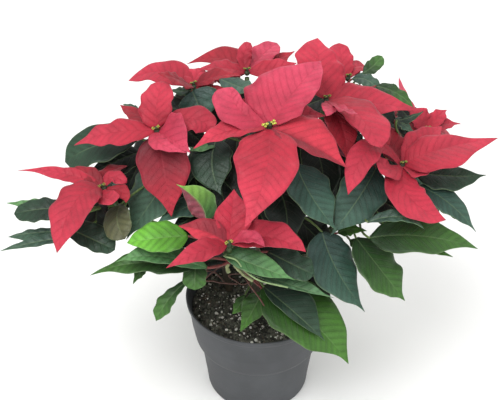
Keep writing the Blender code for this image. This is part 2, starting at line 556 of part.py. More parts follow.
def tube(points, radii, sides):
    """Vertices and triangles of a round rod with flat ends along a path."""
    vertices = []
    triangles = []
    reference = Vector((1.0, 0.0, 0.0))
    for index, (point, radius) in enumerate(zip(points, radii)):
        before = points[max(index - 1, 0)]
        after = points[min(index + 1, len(points) - 1)]
        ahead = (after - before).normalized()
        across = (reference - ahead * reference.dot(ahead)).normalized()
        reference = across
        over = ahead.cross(across)
        for side in range(sides):
            angle = 2 * math.pi * side / sides
            vertices.append(point + (across * math.cos(angle) + over * math.sin(angle)) * radius)
    for ring in range(len(points) - 1):
        for side in range(sides):
            a = ring * sides + side
            b = ring * sides + (side + 1) % sides
            triangles += [(a, b, b + sides), (a, b + sides, a + sides)]
    last = (len(points) - 1) * sides
    for side in range(1, sides - 1):
        triangles.append((0, side + 1, side))
        triangles.append((last, last + side, last + side + 1))
    return vertices, triangles


def turned(profile, sides):
    """Vertices and faces of a profile (radius, height) turned round Z, closed at both ends."""
    vertices = []
    rings = []
    for radius, height in profile:
        ring = []
        for side in range(sides if radius > 0 else 1):
            angle = 2 * math.pi * side / sides
            ring.append(len(vertices))
            vertices.append(Vector((radius * math.cos(angle), radius * math.sin(angle), height)))
        rings.append(ring)
    faces = [tuple(ring) for ring in (rings[0], rings[-1]) if len(ring) > 1]
    for upper, lower in zip(rings, rings[1:]):
        for side in range(sides):
            after = (side + 1) % sides
            if len(upper) == 1:
                faces.append((upper[0], lower[side], lower[after]))
            elif len(lower) == 1:
                faces.append((upper[after], upper[side], lower[0]))
            else:
                faces.append((upper[after], upper[side], lower[side], lower[after]))
    return vertices, faces


def ball(middle, axis, radius, length, sides, rings):
    """Vertices and triangles of an egg shape along an axis."""
    turn = Vector((0, 0, 1)).rotation_difference(axis).to_matrix()
    vertices = [middle + turn @ Vector((0, 0, -length))]
    for ring in range(1, rings):
        angle = math.pi * ring / rings
        for side in range(sides):
            around = 2 * math.pi * (side + 0.5 * (ring % 2)) / sides
            flat = Vector((math.cos(around), math.sin(around), 0)) * radius * math.sin(angle)
            vertices.append(middle + turn @ (flat - Vector((0, 0, length * math.cos(angle)))))
    vertices.append(middle + turn @ Vector((0, 0, length)))
    triangles = []
    for side in range(sides):
        after = (side + 1) % sides
        triangles.append((0, 1 + after, 1 + side))
        for ring in range(rings - 2):
            a, b = 1 + ring * sides + side, 1 + ring * sides + after
            triangles += [(a, b, b + sides), (a, b + sides, a + sides)]
        last = 1 + (rings - 2) * sides
        triangles.append((len(vertices) - 1, last + side, last + after))
    return vertices, triangles


class Garden:
    """What is already placed, so that a new blade can be bent clear of it."""

    def __init__(self):
        self.items = []

    def add(self, owner, full, outer=None):
        """Remember a solid, and the part of it past its root."""
        self.items.append((owner, self.tree(full), self.tree(outer) if outer else None))

    @staticmethod
    def tree(mesh):
        vertices, faces = mesh
        low = [min(v[i] for v in vertices) for i in range(3)]
        high = [max(v[i] for v in vertices) for i in range(3)]
        return BVHTree.FromPolygons(vertices, faces), low, high, vertices, faces

    def hits(self, owner, full, outer):
        """How many placed solids a new one would cross."""
        new_full, new_outer = self.tree(full), self.tree(outer)
        count = 0
        for other_owner, other_full, other_outer in self.items:
            same = other_owner == owner
            if same and other_outer is None:
                continue
            mine, theirs = (new_outer, other_outer) if same else (new_full, other_full)
            if any(mine[2][i] < theirs[1][i] or theirs[2][i] < mine[1][i] for i in range(3)):
                continue
            if mine[0].overlap(theirs[0]):
                count += 1
        return count

    def freeze_view(self):
        """Keep the front blades as one tree, to tell what hides behind them."""
        vertices = []
        faces = []
        for owner, full, outer in self.items:
            start = len(vertices)
            vertices += full[3]
            faces += [tuple(start + corner for corner in face) for face in full[4]]
        self.view = BVHTree.FromPolygons(vertices, faces)

    def shows(self, point, may_fill_gap):
        """Whether a point would be seen from the front in a place where it mustn't."""
        line = point - VIEWER
        reach = line.length
        hit = self.view.ray_cast(VIEWER, line.normalized())
        if hit[0] is None:
            return not may_fill_gap
        return hit[3] > reach


def padded(blade):
    """The blade with its clearance, whole and past its root."""
    thick = BLADE_THICK + 2 * CLEARANCE
    return blade.mesh(CLEARANCE, thick), blade.mesh(CLEARANCE, thick, ROOT_SHARE)


def settle(garden, blade):
    """Bend a blade towards or away from the viewer until it is clear, and remember it."""
    best = None
    for turn in TURNS:
        for shift in SHIFTS:
            trial = blade.moved(shift, turn)
            full, outer = padded(trial)
            hits = garden.hits(trial.owner, full, outer)
            if best is None or hits < best[0]:
                best = (hits, trial, full, outer)
            if hits == 0:
                break
        if best[0] == 0:
            break
    garden.add(best[1].owner, best[2], best[3])
    return best[1]


def make_heads():
    """All flower heads by name."""
    heads = {}
    for name, (cutting, place, front, right) in FRONT_HEADS.items():
        heads[name] = Head(name, cutting, seen(*place), front, right)
    for name, (cutting, place, front, right) in BACK_HEADS.items():
        heads[name] = Head(name, cutting, Vector(place), front, right)
    return heads


def drawn_bracts(heads, garden):
    """The bracts of the front heads, bent clear of each other."""
    bracts = []
    for name, shape, middle, tip, widths, fold, roll in BRACTS:
        head = heads[name]
        depth = FRONT_HEADS[name][1][2]
        points = [seen(middle[0], middle[1], depth + middle[2]), seen(tip[0], tip[1], depth + tip[2])]
        root = head.middle + (points[0] - head.middle).normalized() * ROOT_OFFSET
        midrib = [root] + points
        upper = facing(head.axis, points[0])
        blade = Blade("bracts_" + name, shape, midrib, upper, widths, fold, roll)
        bracts.append(settle(garden, blade))
    return bracts


def drawn_leaves(heads, garden):
    """The leaves of the front, bent clear of what is already there."""
    leaves = []
    for name, shape, base, middle, tip, widths, fold, roll in LEAVES:
        head = heads[name]
        points = [seen(*base), seen(*middle), seen(*tip)]
        start = nearest_on_branch(head, points[0])
        upper = facing(leaf_upper_side(points[2]), points[1])
        blade = Blade("plant_" + head.cutting, shape, points, upper, widths, fold, roll, start)
        leaves.append(settle(garden, blade))
    return leaves


def nearest_on_branch(head, point):
    """The place on a head's branch from which a petiole reaches a leaf."""
    places = [head.along(share) for share in LEAF_PLACES]
    return min(places, key=lambda place: (place - point + LEAF_PLACE_BELOW).length)


def facing(upper, point):
    """An upper side, turned towards the viewer where it leans far away from the line of sight."""
    sight = (VIEWER - point).normalized()
    lean = upper.angle(sight)
    return upper.slerp(sight, max(lean - FACING_LIMIT, 0.0) / lean)


def leaf_upper_side(point):
    """The upper side of a leaf: outward from the plant and up."""
    outward = Vector((point.x, point.y, 0.0)).normalized()
    return (outward * LEAF_LEAN + Vector((0, 0, 1.0))).normalized()


def ruled_bracts(heads, garden, rng):
    """Bracts of the back heads, and the back bracts of the front heads."""
    bracts = []
    for name, head in heads.items():
        across = head.axis.orthogonal().normalized()
        over = head.axis.cross(across)
        start_angle = rng.uniform(0, 2 * math.pi)
        count = BACK_HEAD_BRACTS if name in BACK_HEADS else FRONT_HEAD_BRACTS
        for index in range(count):
            for draw in range(DRAWS):
                angle = start_angle + GOLDEN_ANGLE * index + rng.uniform(*BRACT_TURN)
                outward = across * math.cos(angle) + over * math.sin(angle)
                length = rng.uniform(*BRACT_LENGTH) * (1.0 - BRACT_SHORTER * index)
                droop = rng.uniform(*BRACT_DROOP)
                tip = head.middle + outward * length * math.cos(droop)
                tip -= head.axis * length * math.sin(droop)
                middle = head.middle.lerp(tip, 0.5) + head.axis * length * rng.uniform(*BLADE_ARCH)
                half = length * rng.uniform(*BRACT_HALF_WIDTH)
                root = head.middle + (middle - head.middle).normalized() * ROOT_OFFSET
                blade = Blade("bracts_" + name, "plain", [root, middle, tip], head.axis,
                              (half, half), rng.uniform(*BRACT_FOLD), rng.uniform(*BLADE_ROLL))
                if accept(garden, blade, False):
                    bracts.append(blade)
                    break
    return bracts


def ruled_leaves(heads, garden, rng):
    """Leaves of the inside and the back, spread round each branch."""
    leaves = []
    for name, head in heads.items():
        place = head.middle
        heading = math.atan2(place.y, place.x)
        count = BACK_HEAD_LEAVES if name in BACK_HEADS else FRONT_HEAD_LEAVES
        for index in range(count):
            for draw in range(DRAWS):
                start = head.along(LEAF_START - LEAF_START_STEP * index)
                angle = heading + rng.uniform(*LEAF_SPREAD)
                outward = Vector((math.cos(angle), math.sin(angle), 0))
                reach = rng.uniform(*PETIOLE_LENGTH)
                base = start + outward * reach + Vector((0, 0, reach * rng.uniform(*PETIOLE_RISE)))
                length = rng.uniform(*LEAF_LENGTH)
                droop = rng.uniform(*LEAF_DROOP)
                tip = base + outward * length * math.cos(droop)
                tip -= Vector((0, 0, length * math.sin(droop)))
                middle = base.lerp(tip, 0.5) + Vector((0, 0, length * rng.uniform(*BLADE_ARCH)))
                half = length * rng.uniform(*LEAF_HALF_WIDTH)
                upper = (outward * LEAF_LEAN + Vector((0, 0, 1.0))).normalized()
                blade = Blade("plant_" + head.cutting, "broad", [base, middle, tip], upper,
                              (half, half), rng.uniform(*LEAF_FOLD), rng.uniform(*BLADE_ROLL), start)
                if accept(garden, blade, True):
                    leaves.append(blade)
                    break
    return leaves


def accept(garden, blade, may_fill_gap):
    """Remember a blade that is clear and doesn't change the front view."""
    points = blade.checkpoints()
    if not all(inside_outline(point) for point in points):
        return False
    if any(garden.shows(point, may_fill_gap) for point in points):
        return False
    full, outer = padded(blade)
    if garden.hits(blade.owner, full, outer):
        return False
    garden.add(blade.owner, full, outer)
    return True


def new_object(name, mesh_data, colour=None, roughness=0.5):
    """Object from vertices in mm and faces, with its own material."""
    vertices, faces = mesh_data
    mesh = bpy.data.meshes.new(name)
    mesh.from_pydata([vertex * MM for vertex in vertices], [], faces)
    edit = bmesh.new()
    edit.from_mesh(mesh)
    bmesh.ops.recalc_face_normals(edit, faces=edit.faces)
    edit.to_mesh(mesh)
    edit.free()
    made = bpy.data.objects.new(name, mesh)
    bpy.context.scene.collection.objects.link(made)
    if colour is not None:
        paint(made, colour, roughness)
    return made


def paint(made, colour, roughness):
    """Give an object its own plain material."""
    material = bpy.data.materials.new(made.name)
    material.use_nodes = True
    shader = material.node_tree.nodes["Principled BSDF"]
    shader.inputs["Base Color"].default_value = (*colour, 1.0)
    shader.inputs["Roughness"].default_value = roughness
    made.data.materials.clear()
    made.data.materials.append(material)


def fuse(name, solids, solver, colour, roughness):
    """One body from several solids, by one Boolean union on a collection."""
    whole = new_object(name, solids[0])
    rest = bpy.data.collections.new(name + "_pieces")
    bpy.context.scene.collection.children.link(rest)
    for index, solid in enumerate(solids[1:]):
        piece = new_object(name + "_piece_" + str(index), solid)
        bpy.context.scene.collection.objects.unlink(piece)
        rest.objects.link(piece)
    union = whole.modifiers.new("Union", "BOOLEAN")
    union.operation = "UNION"
    union.operand_type = "COLLECTION"
    union.collection = rest
    union.solver = solver
    bpy.context.view_layer.update()
    united = whole.evaluated_get(bpy.context.evaluated_depsgraph_get())
    joined = bpy.data.meshes.new_from_object(united)
    whole.modifiers.clear()
    merge_flat_faces(joined)
    whole.data = joined
    for piece in list(rest.objects):
        bpy.data.objects.remove(piece)
    bpy.data.collections.remove(rest)
    paint(whole, colour, roughness)
    return whole


def merge_flat_faces(mesh):
    """Put faces that a union split, and that lie in one plane, back together."""
    edit = bmesh.new()
    edit.from_mesh(mesh)
    bmesh.ops.dissolve_limit(edit, angle_limit=math.radians(FLAT_ANGLE), verts=edit.verts,
                             edges=edit.edges)
    bmesh.ops.triangulate(edit, faces=edit.faces)
    edit.to_mesh(mesh)
    edit.free()


def cut(target, name, solids):
    """Cut a row of closed shapes from an object."""
    vertices = []
    faces = []
    for solid_vertices, solid_faces in solids:
        start = len(vertices)
        vertices += solid_vertices
        faces += [tuple(start + corner for corner in face) for face in solid_faces]
    cutter = new_object(name, (vertices, faces))
    cutter.hide_render = True
    cutter.display_type = "WIRE"
    difference = target.modifiers.new("Holes", "BOOLEAN")
    difference.operation = "DIFFERENCE"
    difference.solver = "EXACT"
    difference.object = cutter


def upright(x, y, low, high, radius, sides):
    """A round rod along Z."""
    return tube([Vector((x, y, low)), Vector((x, y, high))], [radius, radius], sides)


def pot_profile():
    """The pot's section from the middle of the floor, up the inside and down the outside."""
    floor = POT_FOOT_RECESS + POT_FLOOR
    section = [(POT_OUTSIDE[POT_FLOOR_ROW][0] - POT_WALL, floor)]
    section += [(POT_OUTSIDE[row][0] - POT_WALL, POT_OUTSIDE[row][1]) for row in POT_INSIDE_ROWS]
    section.append((POT_RIM_RADIUS - POT_WALL, POT_HEIGHT - POT_LIP_ROUND))
    section.append((POT_RIM_RADIUS - POT_LIP_ROUND, POT_HEIGHT))
    section += POT_OUTSIDE
    section += [(POT_FOOT_INNER, 0.0), (POT_FOOT_INNER - 1.0, POT_FOOT_RECESS)]
    section += [(POT_FOOT_PAD + 1.0, POT_FOOT_RECESS), (POT_FOOT_PAD, 0.0)]
    return section


def make_pot():
    """The pot with its drain holes."""
    pot = new_object("pot", turned(pot_profile(), POT_SIDES), POT_COLOUR, 0.55)
    drains = []
    for index in range(DRAIN_COUNT):
        angle = 2 * math.pi * (index + 0.5) / DRAIN_COUNT
        x, y = DRAIN_CIRCLE * math.cos(angle), DRAIN_CIRCLE * math.sin(angle)
        top = POT_FLOOR + POT_FOOT_RECESS + CUT_PAST
        drains.append(upright(x, y, -CUT_PAST, top, DRAIN_RADIUS, DRAIN_SIDES))
    cut(pot, "drain_cutter", drains)
    return pot


def soil_relief(x, y):
    """How far the uneven surface of the soil rises over its level at a place."""
    coarse = math.sin(x * SOIL_WAVE[0] + SOIL_WAVE_START) * math.cos(y * SOIL_WAVE[1])
    fine = math.sin(x * SOIL_FINE_WAVE[0] + y * SOIL_FINE_WAVE[1])
    return SOIL_ROUGHNESS * coarse + SOIL_FINE_ROUGHNESS * fine


def make_soil():
    """The soil, with a hole for each cutting."""
    gap = POT_WALL + SOIL_GAP
    rows = [POT_OUTSIDE[row] for row in reversed(POT_INSIDE_ROWS)]
    edge_height = SOIL_TOP - SOIL_EDGE_DROP
    share = (edge_height - rows[1][1]) / (rows[0][1] - rows[1][1])
    edge = rows[1][0] + share * (rows[0][0] - rows[1][0])
    profile = [(radius, SOIL_TOP - drop) for radius, drop in SOIL_RINGS]
    profile.append((edge - gap, edge_height))
    profile += [(radius - gap, height) for radius, height in rows[1:]]
    floor = POT_FOOT_RECESS + POT_FLOOR + SOIL_GAP
    profile.append((POT_OUTSIDE[POT_FLOOR_ROW][0] - gap - SOIL_FLOOR_INSET, floor))
    vertices, faces = turned(profile, POT_SIDES)
    for vertex in vertices:
        if vertex.z > edge_height + POT_LIP_ROUND:
            vertex.z += soil_relief(vertex.x, vertex.y)
    soil = new_object("soil", (vertices, faces), SOIL_COLOUR, 0.95)
    holes = []
    for (x, y), fork in CUTTINGS.values():
        low, high = SOIL_TOP - STEM_HOLE_DEPTH, SOIL_TOP + CUT_PAST
        holes.append(upright(x, y, low, high, STEM_RADIUS + STEM_HOLE_GAP, STEM_HOLE_SIDES))
    cut(soil, "stem_hole_cutter", holes)
    return soil


def stem_solids(name, heads):
    """The trunk of a cutting and its branches."""
    (x, y), fork = CUTTINGS[name]
    fork = Vector(fork)
    foot = Vector((x, y, SOIL_TOP - STEM_HOLE_DEPTH + SOIL_GAP))
    surface = Vector((x, y, SOIL_TOP + CUT_PAST))
    trunk = [foot, surface, surface.lerp(fork, 0.5), fork]
    radii = [STEM_RADIUS, STEM_RADIUS, STEM_RADIUS, STEM_RADIUS - TRUNK_TAPER]
    solids = [tube(trunk, radii, TRUNK_SIDES)]
    for head in heads.values():
        if head.cutting == name:
            shares = [step / BRANCH_STEPS for step in range(BRANCH_STEPS + 1)]
            radii = [BRANCH_RADIUS + (BRANCH_TIP_RADIUS - BRANCH_RADIUS) * share for share in shares]
            solids.append(tube([head.along(share) for share in shares], radii, STEM_SIDES))
    return solids


def knob(head):
    """The small swelling that carries a head's bracts."""
    return ball(head.middle, head.axis, KNOB_RADIUS, KNOB_RADIUS, KNOB_SIDES, BALL_RINGS)


def cups(head):
    """The small flowers of a head on their common base."""
    foot = head.middle + head.axis * (KNOB_RADIUS + KNOB_SEAT)
    base_radii = [CUP_BASE_RADIUS, CUP_BASE_RADIUS + CUP_BASE_FLARE]
    solids = [tube([foot, foot + head.axis * CUP_BASE_HEIGHT], base_radii, CUP_SIDES)]
    across = head.axis.orthogonal().normalized()
    over = head.axis.cross(across)
    for index in range(CUP_COUNT):
        angle = 2 * math.pi * index / CUP_COUNT
        place = foot + (across * math.cos(angle) + over * math.sin(angle)) * CUP_SPREAD
        lift = head.axis * (CUP_LIFT + CUP_STEP * (index % 2))
        lean = (head.axis + (place - foot) * CUP_LEAN).normalized()
        solids.append(ball(place + lift, lean, CUP_RADIUS, CUP_HEIGHT / 2, CUP_SIDES, BALL_RINGS))
    return solids


def clear_scene():
    """Remove whatever the file holds at the start."""
    for thing in list(bpy.data.objects):
        bpy.data.objects.remove(thing)


def main():
    """Build the plant, its soil and its pot."""
    clear_scene()
    rng = random.Random(SEED)
    heads = make_heads()
    garden = Garden()
    garden.add("pot", turned(pot_profile(), POT_SIDES))
    stems = {name: stem_solids(name, heads) for name in CUTTINGS}
    for name, solids in stems.items():
        for solid in solids:
            garden.add("plant_" + name, solid, solid)
    for head in heads.values():
        garden.add("bracts_" + head.name, knob(head))
        for solid in cups(head):
            garden.add("cyathia_" + head.name, solid)
    blades = drawn_bracts(heads, garden)
    blades += drawn_leaves(heads, garden)
    garden.freeze_view()
    blades += ruled_bracts(heads, garden, rng)
    blades += ruled_leaves(heads, garden, rng)

    make_pot()
    make_soil()
    for name in CUTTINGS:
        solids = stems[name] + [b.mesh() for b in blades if b.owner == "plant_" + name]
        fuse("plant_" + name, solids, PLANT_SOLVER, PLANT_COLOUR, 0.5)
    for head in heads.values():
        owner = "bracts_" + head.name
        solids = [knob(head)] + [b.mesh() for b in blades if b.owner == owner]
        fuse(owner, solids, HEAD_SOLVER, BRACT_COLOUR, 0.55)
        fuse("cyathia_" + head.name, cups(head), HEAD_SOLVER, CUP_COLOUR, 0.6)


main()
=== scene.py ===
"""The looks of the potted poinsettia: finely veined bracts and leaves in place of the plain blades,
with stems, small flowers, potting soil and the pot, on a pale floor in soft studio light.

The layout of the blades is the one that the solids were built from, in millimetres: +Z is up and
-Y is the front, with the origin in the middle of the pot's foot. The blades of the front are laid
out on a drawing plane that leans back with the camera's line of sight, as (right, up, near): right
and up are measured on the plane, and near is how far towards the camera the point is brought.
"""
import itertools
import math
import random
from dataclasses import dataclass, replace

import bmesh
import bpy
from mathutils import Matrix, Vector, noise
from mathutils.bvhtree import BVHTree


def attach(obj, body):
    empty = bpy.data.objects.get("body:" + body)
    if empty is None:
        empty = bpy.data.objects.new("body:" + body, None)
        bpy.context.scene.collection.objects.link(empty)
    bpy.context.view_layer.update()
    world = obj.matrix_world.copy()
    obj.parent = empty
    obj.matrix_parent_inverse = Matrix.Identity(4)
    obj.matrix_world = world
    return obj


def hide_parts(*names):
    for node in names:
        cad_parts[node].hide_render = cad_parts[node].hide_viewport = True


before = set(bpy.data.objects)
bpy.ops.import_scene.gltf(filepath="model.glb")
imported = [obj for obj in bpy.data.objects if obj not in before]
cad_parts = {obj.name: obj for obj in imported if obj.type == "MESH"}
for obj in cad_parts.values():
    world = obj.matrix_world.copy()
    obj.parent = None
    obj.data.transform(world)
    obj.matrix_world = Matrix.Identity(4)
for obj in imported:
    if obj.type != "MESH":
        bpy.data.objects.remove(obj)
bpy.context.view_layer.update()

MM = 0.001
FULL_TURN = 2 * math.pi
UP = Vector((0.0, 0.0, 1.0))

# The drawing plane: its middle, the tilt of the line of sight and the viewer's distance.
VIEW_MIDDLE = Vector((-9.2, -32.7, 282.2))
VIEW_TILT = math.radians(35.0)
VIEW_DISTANCE = 800.0
TOWARDS = Vector((0.0, -math.cos(VIEW_TILT), math.sin(VIEW_TILT)))
UPWARDS = Vector((0.0, math.sin(VIEW_TILT), math.cos(VIEW_TILT)))
RIGHTWARDS = Vector((1.0, 0.0, 0.0))
VIEWER = VIEW_MIDDLE + TOWARDS * VIEW_DISTANCE

# The pot: outer radii at heights above the foot, the rows of them that the inside and the floor
# follow, its wall, floor and drain holes.
POT_SIDES = 30
POT_HEIGHT = 131.0
POT_RIM_RADIUS = 82.5
POT_WALL = 2.2
POT_FLOOR = 3.0
POT_OUTSIDE = [
    (POT_RIM_RADIUS, POT_HEIGHT - 1.0), (81.9, 125.0), (79.6, 122.5), (76.7, 95.0), (73.4, 75.0),
    (71.0, 70.0), (67.2, 66.0), (61.8, 19.0), (60.2, 2.0), (58.8, 0.0),
]
POT_INSIDE_ROWS = (7, 6, 4, 2)
POT_FLOOR_ROW = 8
POT_FOOT_INNER = 50.0
POT_FOOT_PAD = 14.0
POT_FOOT_RECESS = 2.5
POT_LIP_ROUND = 0.6
DRAIN_COUNT = 3
DRAIN_RADIUS = 4.5
DRAIN_CIRCLE = 38.0
CUT_PAST = 5.0

# The soil fills the pot up to a little below the rim.
SOIL_TOP = 114.0
SOIL_GAP = 0.35
SOIL_FLOOR_INSET = 0.3
SOIL_ROUGHNESS = 1.6
SOIL_WAVE = (0.19, 0.23)
SOIL_WAVE_START = 0.7
SOIL_EDGE_DROP = 2.0
STEM_HOLE_DEPTH = 26.0

# Stems.
STEM_SIDES = 5
STEM_RADIUS = 4.6
BRANCH_RADIUS = 3.3
BRANCH_TIP_RADIUS = 2.4
BRANCH_STEPS = 7
BRANCH_START_DROP = 3.0
BRANCH_RISE = 0.22
BRANCH_SPREAD = 0.12
BRANCH_APPROACH = 0.42
TRUNK_SIDES = 7
TRUNK_TAPER = 0.5

# Blades.
BLADE_THICK = 0.9
PETIOLE_HALF_WIDTH = 1.15
PETIOLE_THICK = 2.1
KNOB_RADIUS = 5.0
KNOB_SEAT = 0.3
KNOB_SIDES = 6
BALL_RINGS = 3
CLEARANCE = 0.9
ROOT_SHARE = 0.20
ROOT_OFFSET = 2.0
BRACT_BENDS = (0.0, 0.55, 1.0)
LEAF_BENDS = (0.35, 0.75, 1.0)

# Half widths along a blade, as (share of the length, share of the widest half), with one more
# share where the two halves differ: clockwise, then the other. A leaf starts at its petiole's end.
SHAPES = {
    "ovate": [(0, .12), (.18, .74), (.40, 1), (.65, .78), (.86, .26), (1, 0)],
    "heart": [(0, .12), (.09, .66), (.20, .93), (.36, 1), (.60, .80), (.84, .24), (1, 0)],
    "toothed": [(0, .12), (.18, .76), (.40, 1), (.52, .78), (.60, .84), (.82, .24), (1, 0)],
    "winged": [(0, .12), (.18, .76), (.40, 1), (.60, .98, .84), (.82, .46, .24), (1, 0)],
    "flared": [(0, .12), (.14, .84, .72), (.34, 1), (.60, .86, 1), (.78, .42, .66), (.91, .10, .24),
               (1, 0)],
    "blunt": [(0, .12), (.22, .80), (.50, 1), (.74, .94), (.92, .60), (1, 0)],
    "long": [(0, .12), (.20, .80), (.36, 1), (.62, .78), (.86, .46), (1, 0)],
    "square": [(0, .12), (.16, .72, .84), (.34, 1), (.66, .98, .76), (.88, .52, .30), (1, 0)],
    "boxy": [(0, .12), (.16, .84, .72), (.34, 1), (.66, .76, .98), (.88, .30, .50), (1, 0)],
    "heavy": [(0, .12), (.06, .30), (.20, .80), (.42, .98), (.62, 1), (.82, .64), (1, 0)],
    "tipped": [(0, .12), (.14, .72), (.34, 1), (.62, .96), (.80, .56), (.91, .14), (1, 0)],
    "drop": [(0, .20), (.10, .34), (.34, .62), (.62, 1), (.84, .74), (1, 0)],
    "narrow": [(0, .20), (.14, .40), (.42, 1), (.76, .60), (1, 0)],
    "plain": [(0, .12), (.08, .22), (.34, 1), (.66, .76), (.90, .20), (1, 0)],
    "small": [(0, .14), (.24, .90), (.50, .98), (.78, .46), (1, 0)],
    "leaf": [(0, .12), (.12, .72), (.32, 1), (.58, .90), (.78, .48), (.91, .10), (1, 0)],
    "lobed": [(0, .12), (.15, .78), (.30, 1), (.40, .80), (.56, .96), (.80, .32), (1, 0)],
    "broad": [(0, .14), (.20, .90), (.45, 1), (.76, .52), (1, 0)],
}
SLOPE_STEP = 0.02
EDGE_WAVE = 1.1
EDGE_WAVE_STEP = 2.3

# Each cutting: its place on the soil (x, y) and the point where it forks.
CUTTINGS = {
    "a": ((-6.0, -20.0), (-3.0, -24.0, 158.0)),
    "b": ((34.0, -4.0), (38.0, -8.0, 165.0)),
    "c": ((-34.0, 24.0), (-40.0, 30.0, 162.0)),
    "d": ((14.0, 40.0), (16.0, 50.0, 166.0)),
}

# Each flower head: cutting, middle, lean to the front and to the right in degrees. The first
# ten show from the front, with the middle on the drawing plane; the others are in x, y, z.
FRONT_HEADS = {
    "01": ("a", (19, 73, 45), 20, 0),
    "02": ("a", (-93, 69, 25), 15, -8),
    "03": ("c", (-56, 113, -31), -4, -6),
    "04": ("d", (-3, 127, -44), -2, 0),
    "05": ("b", (76, 100, 5), 12, 8),
    "06": ("b", (152, 35, 5), 15, 12),
    "07": ("b", (176, 69, -38), 2, 14),
    "08": ("d", (98, 121, -68), -4, 8),
    "09": ("a", (-21, -44, 66), 25, 0),
    "10": ("c", (-146, 12, 25), 16, -14),
}
BACK_HEADS = {
    "11": ("c", (-118, 92, 312), -16, -16),
    "12": ("c", (-55, 150, 322), -24, -8),
    "13": ("d", (35, 168, 320), -26, 6),
    "14": ("d", (112, 150, 312), -22, 14),
    "15": ("b", (158, 108, 300), -14, 20),
}

